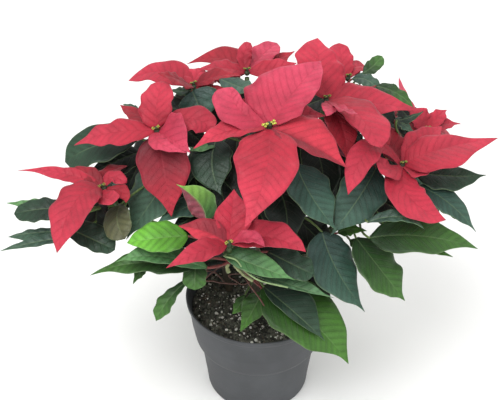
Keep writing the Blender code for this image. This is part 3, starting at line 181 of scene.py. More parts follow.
# Bracts of the front heads: head, shape, tone, middle and tip of the midrib as (right, up, near)
# with near counted from the head, half widths (clockwise, other side) seen from above, fold, and
# roll where there is one. The first of head 01 and the second of head 09 are up to 4 mm wider on
# one side than their solids, which closes a gap between them.
# Their lighter and darker reds are painted light and painted shade, as told at the tones.
BRACTS = [
    ("01", "heart", "red", (15.5, 25, 37), (-5.5, -28, 57), (31, 28), 10),
    ("01", "square", "rose", (42, 106, -12), (71, 139, -26), (23, 43), 14, -8),
    ("01", "blunt", "rose", (-12, 92, -4), (-18, 113, -10), (9, 22), 20, -10),
    ("01", "ovate", "wine", (3, 88, -12), (-7, 102, -18), (10, 9), 10),
    ("01", "ovate", "red", (-22, 69, 5), (-57, 51, 5), (15, 13), 18, 8),
    ("01", "heart", "shaded", (64, 53, 14), (97, 32, 16), (14, 31), 20, -10),
    ("01", "ovate", "red", (50, 84, -22), (75, 84, -28), (15, 15), 14),
    ("02", "toothed", "red", (-140, 67, 3), (-176, 54.5, -4), (15, 18), 12, -6),
    ("02", "blunt", "red", (-94, 93, -2), (-87, 119, -16), (17, 17), 14),
    ("02", "heart", "rose", (-78, 60, 12), (-59.5, 47, 18), (12, 27), 26, 20),
    ("02", "ovate", "rose", (-90, 57, 18), (-62, 47, 23), (9, 8), 10),
    ("02", "blunt", "red", (-58, 81, 2), (-38, 69, 2), (16, 15), 14, 6),
    ("02", "narrow", "wine", (-111, 84, -12), (-130, 95, -26), (8, 11), 10),
    # The big lower bract of head 02 darkens to its base: painted shade from the bracts over it.
    ("02", "heart", "ripe", (-85, 24, 26), (-78.5, -17, 40), (25, 27), 14),
    ("03", "long", "red", (-87, 128.5, 4), (-121.5, 119, 0), (17, 17), 10, -6),
    ("03", "ovate", "wine", (-73, 121, 14), (-93, 127, 18), (9, 11), 8, -18),
    ("03", "ovate", "wine", (-34, 124, 8), (-8, 124, 4), (9, 11), 14),
    ("03", "narrow", "wine", (-40, 112, 6), (-20, 110, 6), (6, 6), 14),
    ("03", "blunt", "red", (-55, 122, -2), (-46, 131, -8), (10, 11), 12),
    ("04", "heart", "wine", (-28, 142, -2), (-63, 136, -4), (17, 13), 14, -6),
    ("04", "ovate", "red", (-27, 132, 6), (-52, 131, 8), (12, 11), 12),
    ("04", "ovate", "wine", (-25, 124, 2), (-45, 121, 4), (7, 7), 14),
    ("04", "blunt", "red", (-6, 145, -10), (1, 157, -16), (9, 8), 18),
    ("04", "blunt", "rose", (10, 143, -8), (27, 157, -20), (15, 14), 16),
    ("04", "ovate", "wine", (22, 138, -16), (45, 149, -22), (13, 12), 14),
    ("04", "ovate", "red", (24, 132, -10), (47, 137, -16), (11, 12), 12, 10),
    ("05", "boxy", "red", (69, 134, -12), (67.5, 162, -28), (26, 24), 10),
    ("05", "heart", "red", (118, 98, 4), (173, 89, 6), (15, 21), 6, 8),
    ("05", "blunt", "red", (107, 86, 16), (131, 52, 27), (13, 23), 4),
    ("05", "narrow", "rose", (79, 92, 20), (76, 84, 25), (8, 8), 10),
    ("05", "narrow", "rose", (93, 91, 20), (108, 86, 26), (5, 5), 10),
    ("05", "ovate", "wine", (92, 72, 6), (98, 38, 10), (17, 17), 12),
    ("05", "ovate", "wine", (122, 74, 0), (136, 48, 2), (19, 19), 10),
    ("05", "narrow", "young", (85, 64, 14), (97, 42, 20), (10, 9), 20),
    ("06", "winged", "red", (190, 51, 2), (248, 62, -8), (27, 20), 10, -6),
    ("06", "heavy", "red", (160, 2, 18), (196, -20, 24), (25, 19), 14),
    ("06", "drop", "red", (121, 52, 20), (98, 5, 38), (14, 14), 8),
    ("06", "narrow", "red", (138, 31, 20), (124, 48, 26), (12, 14), 12),
    ("06", "narrow", "red", (168, 28, 8), (184, 36, 8), (9, 10), 22),
    ("06", "ovate", "wine", (139, 58, -12), (128, 82, -26), (19, 19), 14),
    ("06", "ovate", "red", (174, 58, -12), (192, 74, -28), (18, 18), 14),
    ("07", "narrow", "pink", (157, 99, -8), (149, 123, -12), (5, 5), 10),
    ("07", "toothed", "red", (188, 84, -2), (197, 90, -4), (10, 9), 14),
    ("07", "toothed", "red", (194, 76, 2), (211, 76, 4), (9, 8), 14),
    ("07", "ovate", "wine", (162, 77, -2), (147, 81, -2), (11, 11), 10),
    ("07", "blunt", "red", (170, 82, -8), (166, 92, -16), (13, 13), 10),
    ("08", "blunt", "red", (92, 139, 2), (89, 157, 2), (13, 15), 14),
    ("08", "ovate", "red", (108, 134, 4), (121, 127, 4), (10, 10), 16),
    ("08", "narrow", "wine", (103, 129, 0), (108, 137, -6), (9, 9), 16),
    ("09", "ovate", "shaded", (-45, -31, -2), (-72, -26, -10), (14, 13), 20),
    ("09", "ovate", "red", (-18, -14, -6), (-16, 11, -16), (19, 16), 14),
    ("09", "ovate", "red", (-50, -52, 9), (-84, -68, 16), (12, 11), 16),
    ("09", "boxy", "red", (17, -37, -4), (56, -52, -4), (12, 17), 14),
    ("09", "narrow", "rose", (0, -38, 9), (15, -47, 13), (6, 9), 24),
    ("09", "narrow", "wine", (-3, -24, -14), (7, -9, -22), (9, 9), 14),
    ("10", "toothed", "red", (-188, 27, -4), (-232, 29.5, -10), (8, 10), 14),
    ("10", "ovate", "wine", (-166, 27, -2), (-190, 24, -5), (9, 8), 10),
    ("10", "heavy", "red", (-175, -2, 20), (-193, -53, 30), (22, 23), 10),
    ("10", "blunt", "red", (-144, 2, 14), (-130, 4, 20), (9, 10), 14),
    ("10", "blunt", "red", (-138, 23, -4), (-123, 17, -4), (8, 8), 14),
    ("10", "narrow", "wine", (-128, 8, 2), (-124, -3, 5), (8, 8), 12),
    ("10", "ovate", "wine", (-140, 28, -20), (-122, 34, -34), (12, 11), 16),
]

# Leaves of the front: head whose branch carries it, shape, tone, the blade's base, middle and tip
# as (right, up, near), half widths, and fold where it isn't the usual one.
USUAL_LEAF_FOLD = 8
LEAVES = [
    ("02", "blunt", "deep", (-112, 62, 0), (-152, 55, 3), (-185, 38, -2), (27, 24)),
    ("10", "blunt", "deep", (-180, -9, 8), (-209, -9, 8), (-236, -14, 8), (13, 15)),
    ("10", "small", "light", (-186, -4, 2), (-216, -4, 2), (-244, -3, 0), (6, 6), 10),
    ("10", "small", "grey", (-188, -31, 2), (-217, -33, 2), (-242, -37, 0), (5, 11), 10),
    ("10", "small", "grey", (-186, -38, 12), (-214, -42, 12), (-250, -51, 10), (8, 6), 12),
    ("10", "blunt", "deep", (-186, -26, 22), (-160, -38, 24), (-135, -50, 26), (11, 16)),
    ("02", "blunt", "olive", (-129, -4, 8), (-133, -20, 12), (-125, -39, 16), (15, 15), 10),
    ("02", "leaf", "grey", (-74, 32, 14), (-96, 2, 24), (-124, -40, 32), (37, 27)),
    ("03", "leaf", "blue", (-58, 109, -18), (-52, 95, -18), (-47, 74, -18), (19, 23)),
    ("09", "square", "lime", (-62, -36, 44), (-92, -38, 48), (-123, -43, 46), (19, 18)),
    ("09", "leaf", "light", (-43, -68, 36), (-94, -56, 42), (-134, -62, 42), (14, 8), 12),
    ("09", "lobed", "mid", (-54, -68, 20), (-112, -63, 26), (-160, -75.5, 26), (12, 13), 10),
    ("09", "blunt", "mid", (-54, -62, 20), (-55, -76, 26), (-55, -90, 28), (13, 12), 6),
    ("10", "drop", "mid", (-62, -80, 4), (-81, -99, 8), (-94, -121, 8), (11, 10), 12),
    ("09", "leaf", "turning", (-44, -20, 62), (-51, -2, 72), (-74, 16, 80), (17, 13), 20),
    ("01", "leaf", "deep", (-33, 62, 16), (-38, 34, 30), (-28, 4, 40), (22, 21)),
    ("02", "leaf", "deep", (-34, 54, 6), (-50, 42, 16), (-62, 15, 28), (17, 18)),
    ("01", "small", "light", (-24, 62, 10), (-44, 54, 20), (-62, 49, 24), (7, 7), 10),
    ("04", "small", "grey", (-30, 121, -20), (-10, 113, -10), (9, 107, 0), (11, 12)),
    ("08", "blunt", "mid", (113, 127, -52), (123, 134, -54), (132, 144, -58), (8, 8)),
    ("08", "blunt", "grey", (102, 121, -42), (117, 120, -36), (130, 108, -32), (10, 9)),
    ("05", "leaf", "mid", (126, 114, -18), (148, 106, -14), (165, 90, -12), (10, 9)),
    ("07", "small", "deep", (147, 80, 2), (158, 82, 6), (174, 89, 8), (6, 3), 12),
    ("07", "small", "grey", (145, 80, 2), (154, 75, 10), (165, 67, 14), (7, 7), 10),
    ("06", "leaf", "deep", (166, 28, -14), (200, 24, -12), (237, 25, -14), (19, 14)),
    ("06", "leaf", "blue", (170, 14, -8), (200, -4, -2), (226, -32, 2), (16, 17)),
    ("06", "small", "olive", (182, -2, -14), (200, -12, -10), (215, -23, -10), (6, 6), 12),
    ("06", "small", "grey", (118, -22, 26), (150, -17, 32), (174, -29, 36), (6, 8), 12),
    ("06", "flared", "mid", (120, -38, 8), (172, -36, 14), (228, -49, 12), (22, 20)),
    ("06", "small", "bright", (150, -42, 0), (178, -48, 4), (203, -57, 4), (7, 6), 12),
    ("06", "tipped", "mid", (106, -38, -4), (131, -70, 2), (155, -101, 2), (27, 27)),
    ("01", "leaf", "blue", (72, -32, 14), (87, -70, 18), (115, -112, 16), (30, 26)),
    ("01", "leaf", "blue", (46, 36, 28), (62, 3, 36), (87, -31, 42), (22, 26), 10),
    ("05", "leaf", "blue", (126, 32, 2), (108, 1, 14), (80, -36, 24), (24, 24), 10),
    ("09", "blunt", "deep", (18, -52, 34), (42, -64, 40), (64, -75, 42), (14, 14)),
    ("09", "leaf", "light", (-26, -53, 52), (8, -66, 58), (45, -80, 58), (10, 14), 14),
    ("09", "leaf", "edged", (-10, -68, 24), (38, -84, 36), (84, -98, 40), (4, 12), 14),
    ("09", "flared", "bright", (12, -88, -4), (60, -120, 4), (98.5, -164, -2), (32, 35), 6),
    ("01", "leaf", "deep", (14, -87, 2), (44, -112, 14), (75, -141, 14), (8, 27)),
    ("09", "small", "bright", (-5, -95, -50), (-11, -106, -48), (-18, -114, -50), (7, 7), 10),
    ("09", "small", "bright", (12, -92, -42), (3, -110, -42), (-10, -132, -46), (14, 11), 10),
]

# Leaves inside the plant: head, base, middle, tip and half widths, then the shape, tone, fold and
# roll where they aren't the usual ones. Most take the dark shadow tone: painted shade on leaves
# that fill the dark gaps deep in the plant.
USUAL_INNER_LEAF = ("broad", "shadow", 8, 0)
INNER_LEAVES = [
    ("01", (-12, 66, -8), (-12, 34, 8), (0, -6, 18), (24, 22)),
    ("01", (22, 22, 0), (36, -10, 10), (34, -46, 12), (24, 24)),
    ("05", (46, -16, -22), (72, -42, -16), (98, -62, -20), (22, 22)),
    ("06", (104, 8, -44), (132, -10, -42), (160, -28, -46), (21, 21)),
    ("10", (-110, 48, -22), (-136, 38, -16), (-160, 26, -14), (18, 18), "broad", "shadow", 8, -10),
    ("10", (-118, 0, -8), (-142, -8, -5), (-166, -14, -4), (17, 17)),
    ("09", (-40, -26, 12), (-62, -36, 20), (-84, -38, 22), (17, 17)),
    ("05", (58, 66, -24), (72, 32, -12), (72, -8, -4), (24, 24)),
    ("06", (146, 30, -34), (164, 8, -24), (180, -16, -20), (13, 13)),
    ("03", (-26, 110, -60), (-20, 86, -44), (-10, 58, -34), (22, 20)),
    ("02", (-96, 60, -16), (-112, 34, -6), (-124, 6, 2), (22, 22)),
    ("02", (-60, 42, -14), (-54, 18, -12), (-46, -10, -8), (22, 22)),
    ("01", (4, -2, -8), (14, -22, -4), (22, -46, 0), (20, 20)),
    ("05", (88, -33, -8), (100, -29, -6), (117, -31, -6), (8, 7), "small", "bright"),
    ("06", (100, -40, -18), (108, -46, -18), (119, -53, -18), (8, 8), "small", "bright"),
    ("08", (84, 104, -70), (60, 96, -62), (34, 84, -56), (22, 22)),
    ("07", (150, 92, -56), (170, 72, -50), (196, 52, -48), (20, 20)),
    ("10", (-146, 4, 2), (-154, -18, 8), (-146, -38, 8), (14, 14)),
    ("09", (-42, -2, 6), (-66, -8, 12), (-92, -22, 16), (15, 15), "broad", "blue"),
    ("01", (54, -40, -4), (80, -50, -8), (106, -57, -12), (15, 15)),
    ("02", (-110, 84, -18), (-119, 91, -22), (-127, 96, -24), (6, 6), "small", "grey"),
    ("06", (110, 20, -20), (134, -2, -20), (164, -14, -24), (17, 17)),
    ("04", (-6, 112, -60), (10, 96, -56), (24, 76, -50), (20, 20)),
    ("01", (-14, 82, -14), (4, 68, -12), (24, 56, -16), (15, 15)),
    ("02", (-74, 78, -8), (-58, 66, -4), (-44, 54, -2), (18, 14)),
    ("02", (-92, 98, -34), (-72, 90, -32), (-48, 84, -30), (15, 15)),
    ("05", (99, 66, -29), (113, 30, -25), (120, -6, -28), (19, 19)),
    ("06", (118, 100, -50), (134, 84, -46), (154, 64, -46), (18, 18)),
    ("01", (-32, 32, 2), (-28, 8, 6), (-22, -20, 8), (15, 15)),
    ("05", (92, 50, -14), (86, 6, -10), (84, -34, -10), (14, 14)),
    ("09", (-48, -10, 20), (-62, -20, 22), (-82, -32, 24), (12, 12)),
    ("09", (8, -42, 14), (30, -48, 16), (58, -54, 16), (13, 13)),
    ("09", (-18, -50, 12), (-32, -58, 12), (-52, -64, 10), (11, 11)),
    ("01", (44, 60, -12), (50, 42, -8), (54, 12, -6), (16, 16)),
    ("06", (124, 58, -30), (136, 44, -26), (152, 24, -24), (15, 15)),
    ("10", (-102, -64, 14), (-110, -72, 14), (-117, -84, 14), (7, 7), "small", "mid"),
    ("09", (-60, 4, -20), (-74, -4, -16), (-92, -16, -12), (12, 12)),
    ("05", (97, 74, -32), (106, 66, -32), (115, 56, -34), (8, 8), "small", "shadow"),
    ("06", (140, 74, -40), (150, 67, -40), (164, 57, -42), (9, 9), "small", "shadow"),
    ("05", (84, 84, -20), (74, 80, -20), (62, 74, -22), (6, 6), "small", "shadow"),
    ("03", (-58, 110, -30), (-68, 109, -32), (-80, 110, -34), (6, 7), "small", "deep"),
    ("03", (-58, 104, -40), (-74, 92, -42), (-86, 76, -40), (16, 16)),
]

# Leaves sit on a branch at these shares of its length, a little below the blade's base.
LEAF_PLACES = [0.15 + 0.05 * step for step in range(16)]
LEAF_PLACE_BELOW = Vector((0.0, 0.0, 6.0))

# The upper side of a blade of the front leans away from the line of sight by no more than this.
FACING_LIMIT = math.radians(46.0)

# The outline that the plant shows from the front, on the drawing plane. Blades that are placed
# by rule keep inside it.
OUTLINE = [
    (-228, 30), (-186, 34), (-180, 54), (-168, 68), (-140, 78), (-112, 84), (-108, 98), (-92, 114),
    (-100, 118), (-118, 121), (-100, 136), (-76, 143), (-50, 140), (-30, 148), (0, 150), (24, 156),
    (50, 146), (68, 156), (92, 152), (104, 140), (124, 130), (132, 114), (150, 108), (166, 92),
    (192, 86), (206, 76), (196, 68), (236, 58), (212, 42), (224, 26), (204, 12), (214, -14),
    (218, -38), (180, -46), (144, -54), (152, -92), (110, -80), (112, -104), (80, -98),
    (88, -124), (86, -150), (40, -138), (-58, -138), (-62, -96), (-84, -112), (-76, -84),
    (-110, -76), (-122, -54), (-148, -48), (-190, -44), (-240, -46), (-196, -20), (-236, -6),
    (-196, 4), (-196, 20),
]

# Blades that are placed by rule: how many, and the ranges that their sizes are drawn from.
SEED = 21
DRAWS = 26
GOLDEN_ANGLE = math.radians(137.5)
HEAD_BRACTS = {"front": 2, "back": 6}
BRACT_LENGTH = (62.0, 96.0)
BRACT_SHORTER = 0.05
BRACT_TURN = (-0.35, 0.35)
BRACT_DROOP = (-0.10, 0.55)
BRACT_HALF_WIDTH = (0.24, 0.29)
BRACT_FOLD = (8.0, 22.0)
HEAD_LEAVES = {"front": 1, "back": 4}
LEAF_LEAN = 0.6
LEAF_START = 0.90
LEAF_START_STEP = 0.13
LEAF_SPREAD = (-1.7, 1.7)
LEAF_LENGTH = (84.0, 124.0)
LEAF_DROOP = (0.05, 0.95)
LEAF_HALF_WIDTH = (0.27, 0.33)
LEAF_FOLD = (6.0, 16.0)
PETIOLE_LENGTH = (20.0, 38.0)
PETIOLE_RISE = (0.0, 0.35)
BLADE_ARCH = (0.06, 0.14)
BLADE_ROLL = (-9.0, 9.0)
TURNS = (0, 10, -10)
SHIFTS = (0, 4, -4, 8, -8, 12, -12, 17, -17, 23, -23, 30, -30, 38, -38)

# Small flowers in the middle of each head.
CUP_COUNT = 3
CUP_RADIUS = 1.8
CUP_HEIGHT = 4.8
CUP_SIDES = 4
CUP_SPREAD = 2.7
CUP_LIFT = 2.8
CUP_BASE_RADIUS = 3.8
CUP_BASE_HEIGHT = 1.8
CUP_BASE_FLARE = 0.5
CUP_STEP = 0.7
CUP_LEAN = 0.06


def seen(right, up, near):
    """Point that appears at (right, up) on the drawing plane, near mm closer than the plane."""
    shrink = (VIEW_DISTANCE - near) / VIEW_DISTANCE
    across = RIGHTWARDS * right + UPWARDS * up
    return VIEW_MIDDLE + across * shrink + TOWARDS * near


def spoke(angle):
    """Level direction at an angle round Z."""
    return Vector((math.cos(angle), math.sin(angle), 0.0))


def swung(across, over, angle):
    """Direction at an angle from one direction towards another, square to it."""
    return across * math.cos(angle) + over * math.sin(angle)


def square_to(axis):
    """Two directions square to an axis and to each other."""
    across = axis.orthogonal().normalized()
    return across, axis.cross(across)


def on_drawing(point):
    """Place (right, up) on the drawing plane where a point appears."""
    offset = point - VIEW_MIDDLE
    scale = VIEW_DISTANCE / (VIEW_DISTANCE - offset.dot(TOWARDS))
    return offset.dot(RIGHTWARDS) * scale, offset.dot(UPWARDS) * scale


def inside_outline(point):
    """Whether a point appears inside the plant's outline."""
    right, up = on_drawing(point)
    inside = False
    previous = OUTLINE[-1]
    for corner in OUTLINE:
        if (corner[1] > up) != (previous[1] > up):
            share = (up - corner[1]) / (previous[1] - corner[1])
            if right < corner[0] + share * (previous[0] - corner[0]):
                inside = not inside
        previous = corner
    return inside


def bezier(points, share):
    """Point on the Bezier curve through a control polygon."""
    points = list(points)
    while len(points) > 1:
        points = [a.lerp(b, share) for a, b in zip(points, points[1:])]
    return points[0]


class Head:
    """A flower head: its middle, the direction it faces and the branch below it."""

    def __init__(self, name, cutting, middle, front, right):
        self.name = name
        self.cutting = cutting
        self.middle = middle
        slope = (math.tan(math.radians(right)), -math.tan(math.radians(front)), 1.0)
        self.axis = Vector(slope).normalized()
        fork = Vector(CUTTINGS[cutting][1])
        end = middle - self.axis * (KNOB_RADIUS + KNOB_SEAT)
        reach = (end - fork).length
        self.branch = [
            fork - UP * BRANCH_START_DROP,
            fork + UP * (reach * BRANCH_RISE) + (end - fork) * BRANCH_SPREAD,
            end - self.axis * reach * BRANCH_APPROACH,
            end,
        ]

    def along(self, share):
        """Point on the branch's centre line."""
        return bezier(self.branch, share)


@dataclass
class Blade:
    """A bract or leaf: its owner node, shape, tone, midrib, upper side, half widths and bends."""

    owner: str
    shape: str
    tone: str
    midrib: list
    upper: Vector
    widths: tuple
    fold: float
    roll: float = 0.0
    petiole: Vector = None

    def moved(self, shift, turn):
        """The same blade, seen alike from the front, with its tip brought nearer by shift."""
        shares = BRACT_BENDS if self.petiole is None else LEAF_BENDS
        points = [point + (VIEWER - point).normalized() * shift * share
                  for point, share in zip(self.midrib, shares)]
        return replace(self, midrib=points, roll=self.roll + turn)

    def point(self, share):
        """Point on the midrib."""
        base, middle, tip = self.midrib
        bend = middle * 2.0 - (base + tip) * 0.5
        return bezier((base, bend, tip), share)

    def ahead(self, share):
        """Step along the midrib at a share of its length."""
        before, after = max(share - SLOPE_STEP, 0.0), min(share + SLOPE_STEP, 1.0)
        return self.point(after) - self.point(before)

    def sections(self, extra_width=0.0, thick=BLADE_THICK):
        """Rows (middle, way ahead, half widths, thickness, share) from root to tip."""
        rows = []
        if self.petiole is not None:
            start = self.petiole
            base = self.midrib[0]
            depth = thick - BLADE_THICK + PETIOLE_THICK
            half = PETIOLE_HALF_WIDTH + extra_width
            rows.append((start, base - start, half, half, depth, 0.0))
        for share, *halves in SHAPES[self.shape]:
            clock = self.widths[0] * halves[0] + extra_width
            other = self.widths[1] * halves[-1] + extra_width
            rows.append((self.point(share), self.ahead(share), clock, other, thick, share))
        return rows

    def mesh(self, extra_width=0.0, thick=BLADE_THICK, from_share=-1.0):
        """Vertices and triangles of the blade as a thin closed solid."""
        vertices = []
        *rows, tip = [row for row in self.sections(extra_width, thick) if row[-1] >= from_share]
        for count, (point, ahead, clock, other, depth, share) in enumerate(rows):
            side, normal = self.frame(ahead)
            fold = math.radians(self.fold) if share > 0 else 0.0
            out, lift = side * math.cos(fold), normal * math.sin(fold)
            wave = normal * EDGE_WAVE * math.sin(EDGE_WAVE_STEP * count + self.widths[0])
            ripple = wave if share > ROOT_SHARE else wave * 0.0
            corners = (point + (out + lift) * clock + ripple, point,
                       point + (lift - out) * other - ripple)
            half = normal * depth * 0.5
            vertices += [corner + half for corner in corners]
            vertices += [corner - half for corner in corners]
        half = self.frame(tip[1])[1] * tip[4] * 0.5
        return vertices + [tip[0] + half, tip[0] - half], blade_triangles(len(rows))

    def frame(self, ahead):
        """Clockwise side and upper normal for a midrib direction."""
        ahead = ahead.normalized()
        side = ahead.cross(self.upper).normalized()
        normal = side.cross(ahead)
        turn = Matrix.Rotation(math.radians(self.roll), 3, ahead)
        return turn @ side, turn @ normal

    def checkpoints(self):
        """Points of the blade that tell where it shows: its corners and the places between."""
        corners = self.mesh()[0]
        return corners + [a.lerp(b, 0.5) for a, b in zip(corners, corners[6:])]


def blade_triangles(count):
    """Triangles of a blade with count rows of six corners and a two-point tip."""
    triangles = []

    def quad(a, b, c, d):
        triangles.extend([(a, b, c), (a, c, d)])

    for near in range(0, (count - 1) * 6, 6):
        far = near + 6
        for a, b in ((near, far), (near + 1, far + 1)):
            quad(a, a + 1, b + 1, b)
            quad(a + 3, b + 3, b + 4, a + 4)
        quad(near, far, far + 3, near + 3)
        quad(near + 2, near + 5, far + 5, far + 2)
    last, top, bottom = (count - 1) * 6, count * 6, count * 6 + 1
    triangles += [(last, last + 1, top), (last + 1, last + 2, top)]
    triangles += [(last + 4, last + 3, bottom), (last + 5, last + 4, bottom)]
    quad(last, top, bottom, last + 3)
    quad(last + 2, last + 5, bottom, top)
    quad(0, 3, 4, 1)
    quad(1, 4, 5, 2)
    return triangles


def ring_triangles(start, sides):
    """Two triangles for each side between a ring of points, from start on, and the next ring."""
    rings = []
    for a in range(start, start + sides):
        b = start + (a - start + 1) % sides
        rings += [(a, b, b + sides), (a, b + sides, a + sides)]
    return rings


def tube(points, radii, sides):
    """Vertices and triangles of a round rod with flat ends along a path."""
    vertices = []
    across = RIGHTWARDS
    for index, (point, radius) in enumerate(zip(points, radii)):
        before, after = points[max(index - 1, 0)], points[min(index + 1, len(points) - 1)]
        ahead = (after - before).normalized()
        across = (across - ahead * across.dot(ahead)).normalized()
        over = ahead.cross(across)
        for side in range(sides):
            vertices.append(point + swung(across, over, FULL_TURN * side / sides) * radius)
    last = (len(points) - 1) * sides
    triangles = []
    for start in range(0, last, sides):
        triangles += ring_triangles(start, sides)
    for side in range(1, sides - 1):
        triangles += [(0, side + 1, side), (last, last + side, last + side + 1)]
    return vertices, triangles


def turned(profile, sides):
    """Vertices and faces of a profile (radius, height) turned round Z, closed at both ends."""
    vertices = []
    rings = []
    for radius, height in profile:
        count = sides if radius > 0 else 1
        rings.append(range(len(vertices), len(vertices) + count))
        for angle in (FULL_TURN * side / sides for side in range(count)):
            vertices.append(Vector((radius * math.cos(angle), radius * math.sin(angle), height)))
    faces = [tuple(ring) for ring in (rings[0], rings[-1]) if len(ring) > 1]
    for upper, lower in zip(rings, rings[1:]):
        for side in range(sides):
            after = (side + 1) % sides
            top = (upper[0],) if len(upper) == 1 else (upper[after], upper[side])
            faces.append((*top, lower[side], lower[after]))
    return vertices, faces


def ball(middle, axis, radius, length, sides, rings):
    """Vertices and triangles of an egg shape along an axis."""
    turn = UP.rotation_difference(axis).to_matrix()
    vertices = [middle + turn @ (UP * -length)]
    for ring in range(1, rings):
        angle = math.pi * ring / rings
        for side in range(sides):
            flat = spoke(FULL_TURN * (side + 0.5 * (ring % 2)) / sides) * radius * math.sin(angle)
            vertices.append(middle + turn @ (flat - UP * (length * math.cos(angle))))
    vertices.append(middle + turn @ (UP * length))
    last = 1 + (rings - 2) * sides
    triangles = []
    for start in range(1, last, sides):
        triangles += ring_triangles(start, sides)
    for side in range(sides):
        after = (side + 1) % sides
        triangles += [(0, 1 + after, 1 + side), (last + sides, last + side, last + after)]
    return vertices, triangles


class Rods:
    """Round rods and lumps gathered into one mesh, with a colour at each vertex."""

    def __init__(self):
        self.vertices = []
        self.faces = []
        self.tints = []

    def add(self, mesh_data, tints=None):
        """Add a solid, with one colour for all of it or one for each vertex."""
        vertices, faces = mesh_data
        start = len(self.vertices)
        self.vertices += vertices
        self.faces += [tuple(start + corner for corner in face) for face in faces]
        self.tints += tints if isinstance(tints, list) else [tints] * len(vertices)


class Garden:
    """What is already placed, so that a new blade can be bent clear of it."""

    def __init__(self):
        self.items = []

    def add(self, owner, full, outer=None):
        """Remember a solid, and the part of it past its root."""
        self.items.append((owner, self.tree(full), self.tree(outer) if outer else None))

    @staticmethod
    def tree(mesh):
        """A solid with its tree of faces and the corners of its box."""
        low = [min(places) for places in zip(*mesh[0])]
        high = [max(places) for places in zip(*mesh[0])]
        return BVHTree.FromPolygons(*mesh), low, high, mesh

    def hits(self, owner, full, outer):
        """How many placed solids a new one would cross."""
        new_full, new_outer = self.tree(full), self.tree(outer)
        count = 0
        for other_owner, other_full, other_outer in self.items:
            same = other_owner == owner
            if same and other_outer is None:
                continue
            mine, theirs = (new_outer, other_outer) if same else (new_full, other_full)
            if any(mine[2][i] < theirs[1][i] or theirs[2][i] < mine[1][i] for i in range(3)):
                continue
            if mine[0].overlap(theirs[0]):
                count += 1
        return count

    def freeze_view(self):
        """Keep the front blades as one tree, to tell what hides behind them."""
        front = Rods()
        for owner, full, outer in self.items:
            front.add(full[3])
        self.view = BVHTree.FromPolygons(front.vertices, front.faces)

    def shows(self, point, may_fill_gap):
        """Whether a point would be seen from the front in a place where it mustn't."""
        line = point - VIEWER
        hit = self.view.ray_cast(VIEWER, line.normalized())
        return not may_fill_gap if hit[0] is None else hit[3] > line.length


def padded(blade):
    """The blade with its clearance, whole and past its root."""
    thick = BLADE_THICK + 2 * CLEARANCE
    return blade.mesh(CLEARANCE, thick), blade.mesh(CLEARANCE, thick, ROOT_SHARE)


def settle(garden, blade):
    """Bend a blade towards or away from the viewer until it is clear, and remember it."""
    fewest = None
    for turn, shift in itertools.product(TURNS, SHIFTS):
        trial = blade.moved(shift, turn)
        full, outer = padded(trial)
        hits = garden.hits(trial.owner, full, outer)
        if fewest is None or hits < fewest:
            fewest, best = hits, (trial, full, outer)
        if hits == 0:
            break
    garden.add(best[0].owner, *best[1:])
    return best[0]


def make_heads():
    """All flower heads by name."""
    heads = {}
    for name, (cutting, place, front, right) in (FRONT_HEADS | BACK_HEADS).items():
        middle = seen(*place) if name in FRONT_HEADS else Vector(place)
        heads[name] = Head(name, cutting, middle, front, right)
    return heads


def drawn_bracts(heads, garden):
    """The bracts of the front heads, bent clear of each other."""
    bracts = []
    for name, shape, tone, middle, tip, widths, *bends in BRACTS:
        head = heads[name]
        depth = FRONT_HEADS[name][1][2]
        points = [seen(right, up, depth + near) for right, up, near in (middle, tip)]
        root = head.middle + (points[0] - head.middle).normalized() * ROOT_OFFSET
        blade = Blade("bracts_" + name, shape, tone, [root] + points, facing(head.axis, points[0]),
                      widths, *bends)
        bracts.append(settle(garden, blade))
    return bracts


def leaf_rows():
    """Rows of all leaves that are drawn: head, shape, tone, places, half widths, fold and roll."""
    for name, shape, tone, base, middle, tip, widths, *fold in LEAVES:
        yield name, shape, tone, (base, middle, tip), widths, *(fold or [USUAL_LEAF_FOLD]), 0
    for name, base, middle, tip, widths, *own in INNER_LEAVES:
        shape, tone, fold, roll = (*own, *USUAL_INNER_LEAF[len(own):])
        yield name, shape, tone, (base, middle, tip), widths, fold, roll


def drawn_leaves(heads, garden):
    """The leaves of the front and the inside, bent clear of what is already there."""
    leaves = []
    for name, shape, tone, places, widths, fold, roll in leaf_rows():
        head = heads[name]
        points = [seen(*place) for place in places]
        tip = points[2]
        upper = facing(leaning(Vector((tip.x, tip.y, 0.0)).normalized()), points[1])
        blade = Blade("plant_" + head.cutting, shape, tone, points, upper, widths, fold, roll,
                      nearest_on_branch(head, points[0]))
        leaves.append(settle(garden, blade))
    return leaves


def nearest_on_branch(head, point):
    """The place on a head's branch from which a petiole reaches a leaf."""
    places = [head.along(share) for share in LEAF_PLACES]
    return min(places, key=lambda place: (place - point + LEAF_PLACE_BELOW).length)


def facing(upper, point):
    """An upper side, turned towards the viewer where it leans far away from the line of sight."""
    sight = (VIEWER - point).normalized()
    lean = upper.angle(sight)
    return upper.slerp(sight, max(lean - FACING_LIMIT, 0.0) / lean)


def leaning(outward):
    """The upper side of a leaf: outward from the plant and up."""
    return (outward * LEAF_LEAN + UP).normalized()


def bract_rule(head, rng):
    """How bracts are drawn for a head by rule, spread round it."""
    across, over = square_to(head.axis)
    start_angle = rng.uniform(0, FULL_TURN)

    def draw(index):
        angle = start_angle + GOLDEN_ANGLE * index + rng.uniform(*BRACT_TURN)
        outward = swung(across, over, angle)
        length = rng.uniform(*BRACT_LENGTH) * (1.0 - BRACT_SHORTER * index)
        droop = rng.uniform(*BRACT_DROOP)
        tip = head.middle + outward * length * math.cos(droop)
        tip -= head.axis * length * math.sin(droop)
        middle = head.middle.lerp(tip, 0.5) + head.axis * length * rng.uniform(*BLADE_ARCH)
        half = length * rng.uniform(*BRACT_HALF_WIDTH)
        root = head.middle + (middle - head.middle).normalized() * ROOT_OFFSET
        return Blade("bracts_" + head.name, "plain", "", [root, middle, tip], head.axis,
                     (half, half), rng.uniform(*BRACT_FOLD), rng.uniform(*BLADE_ROLL))
    return draw


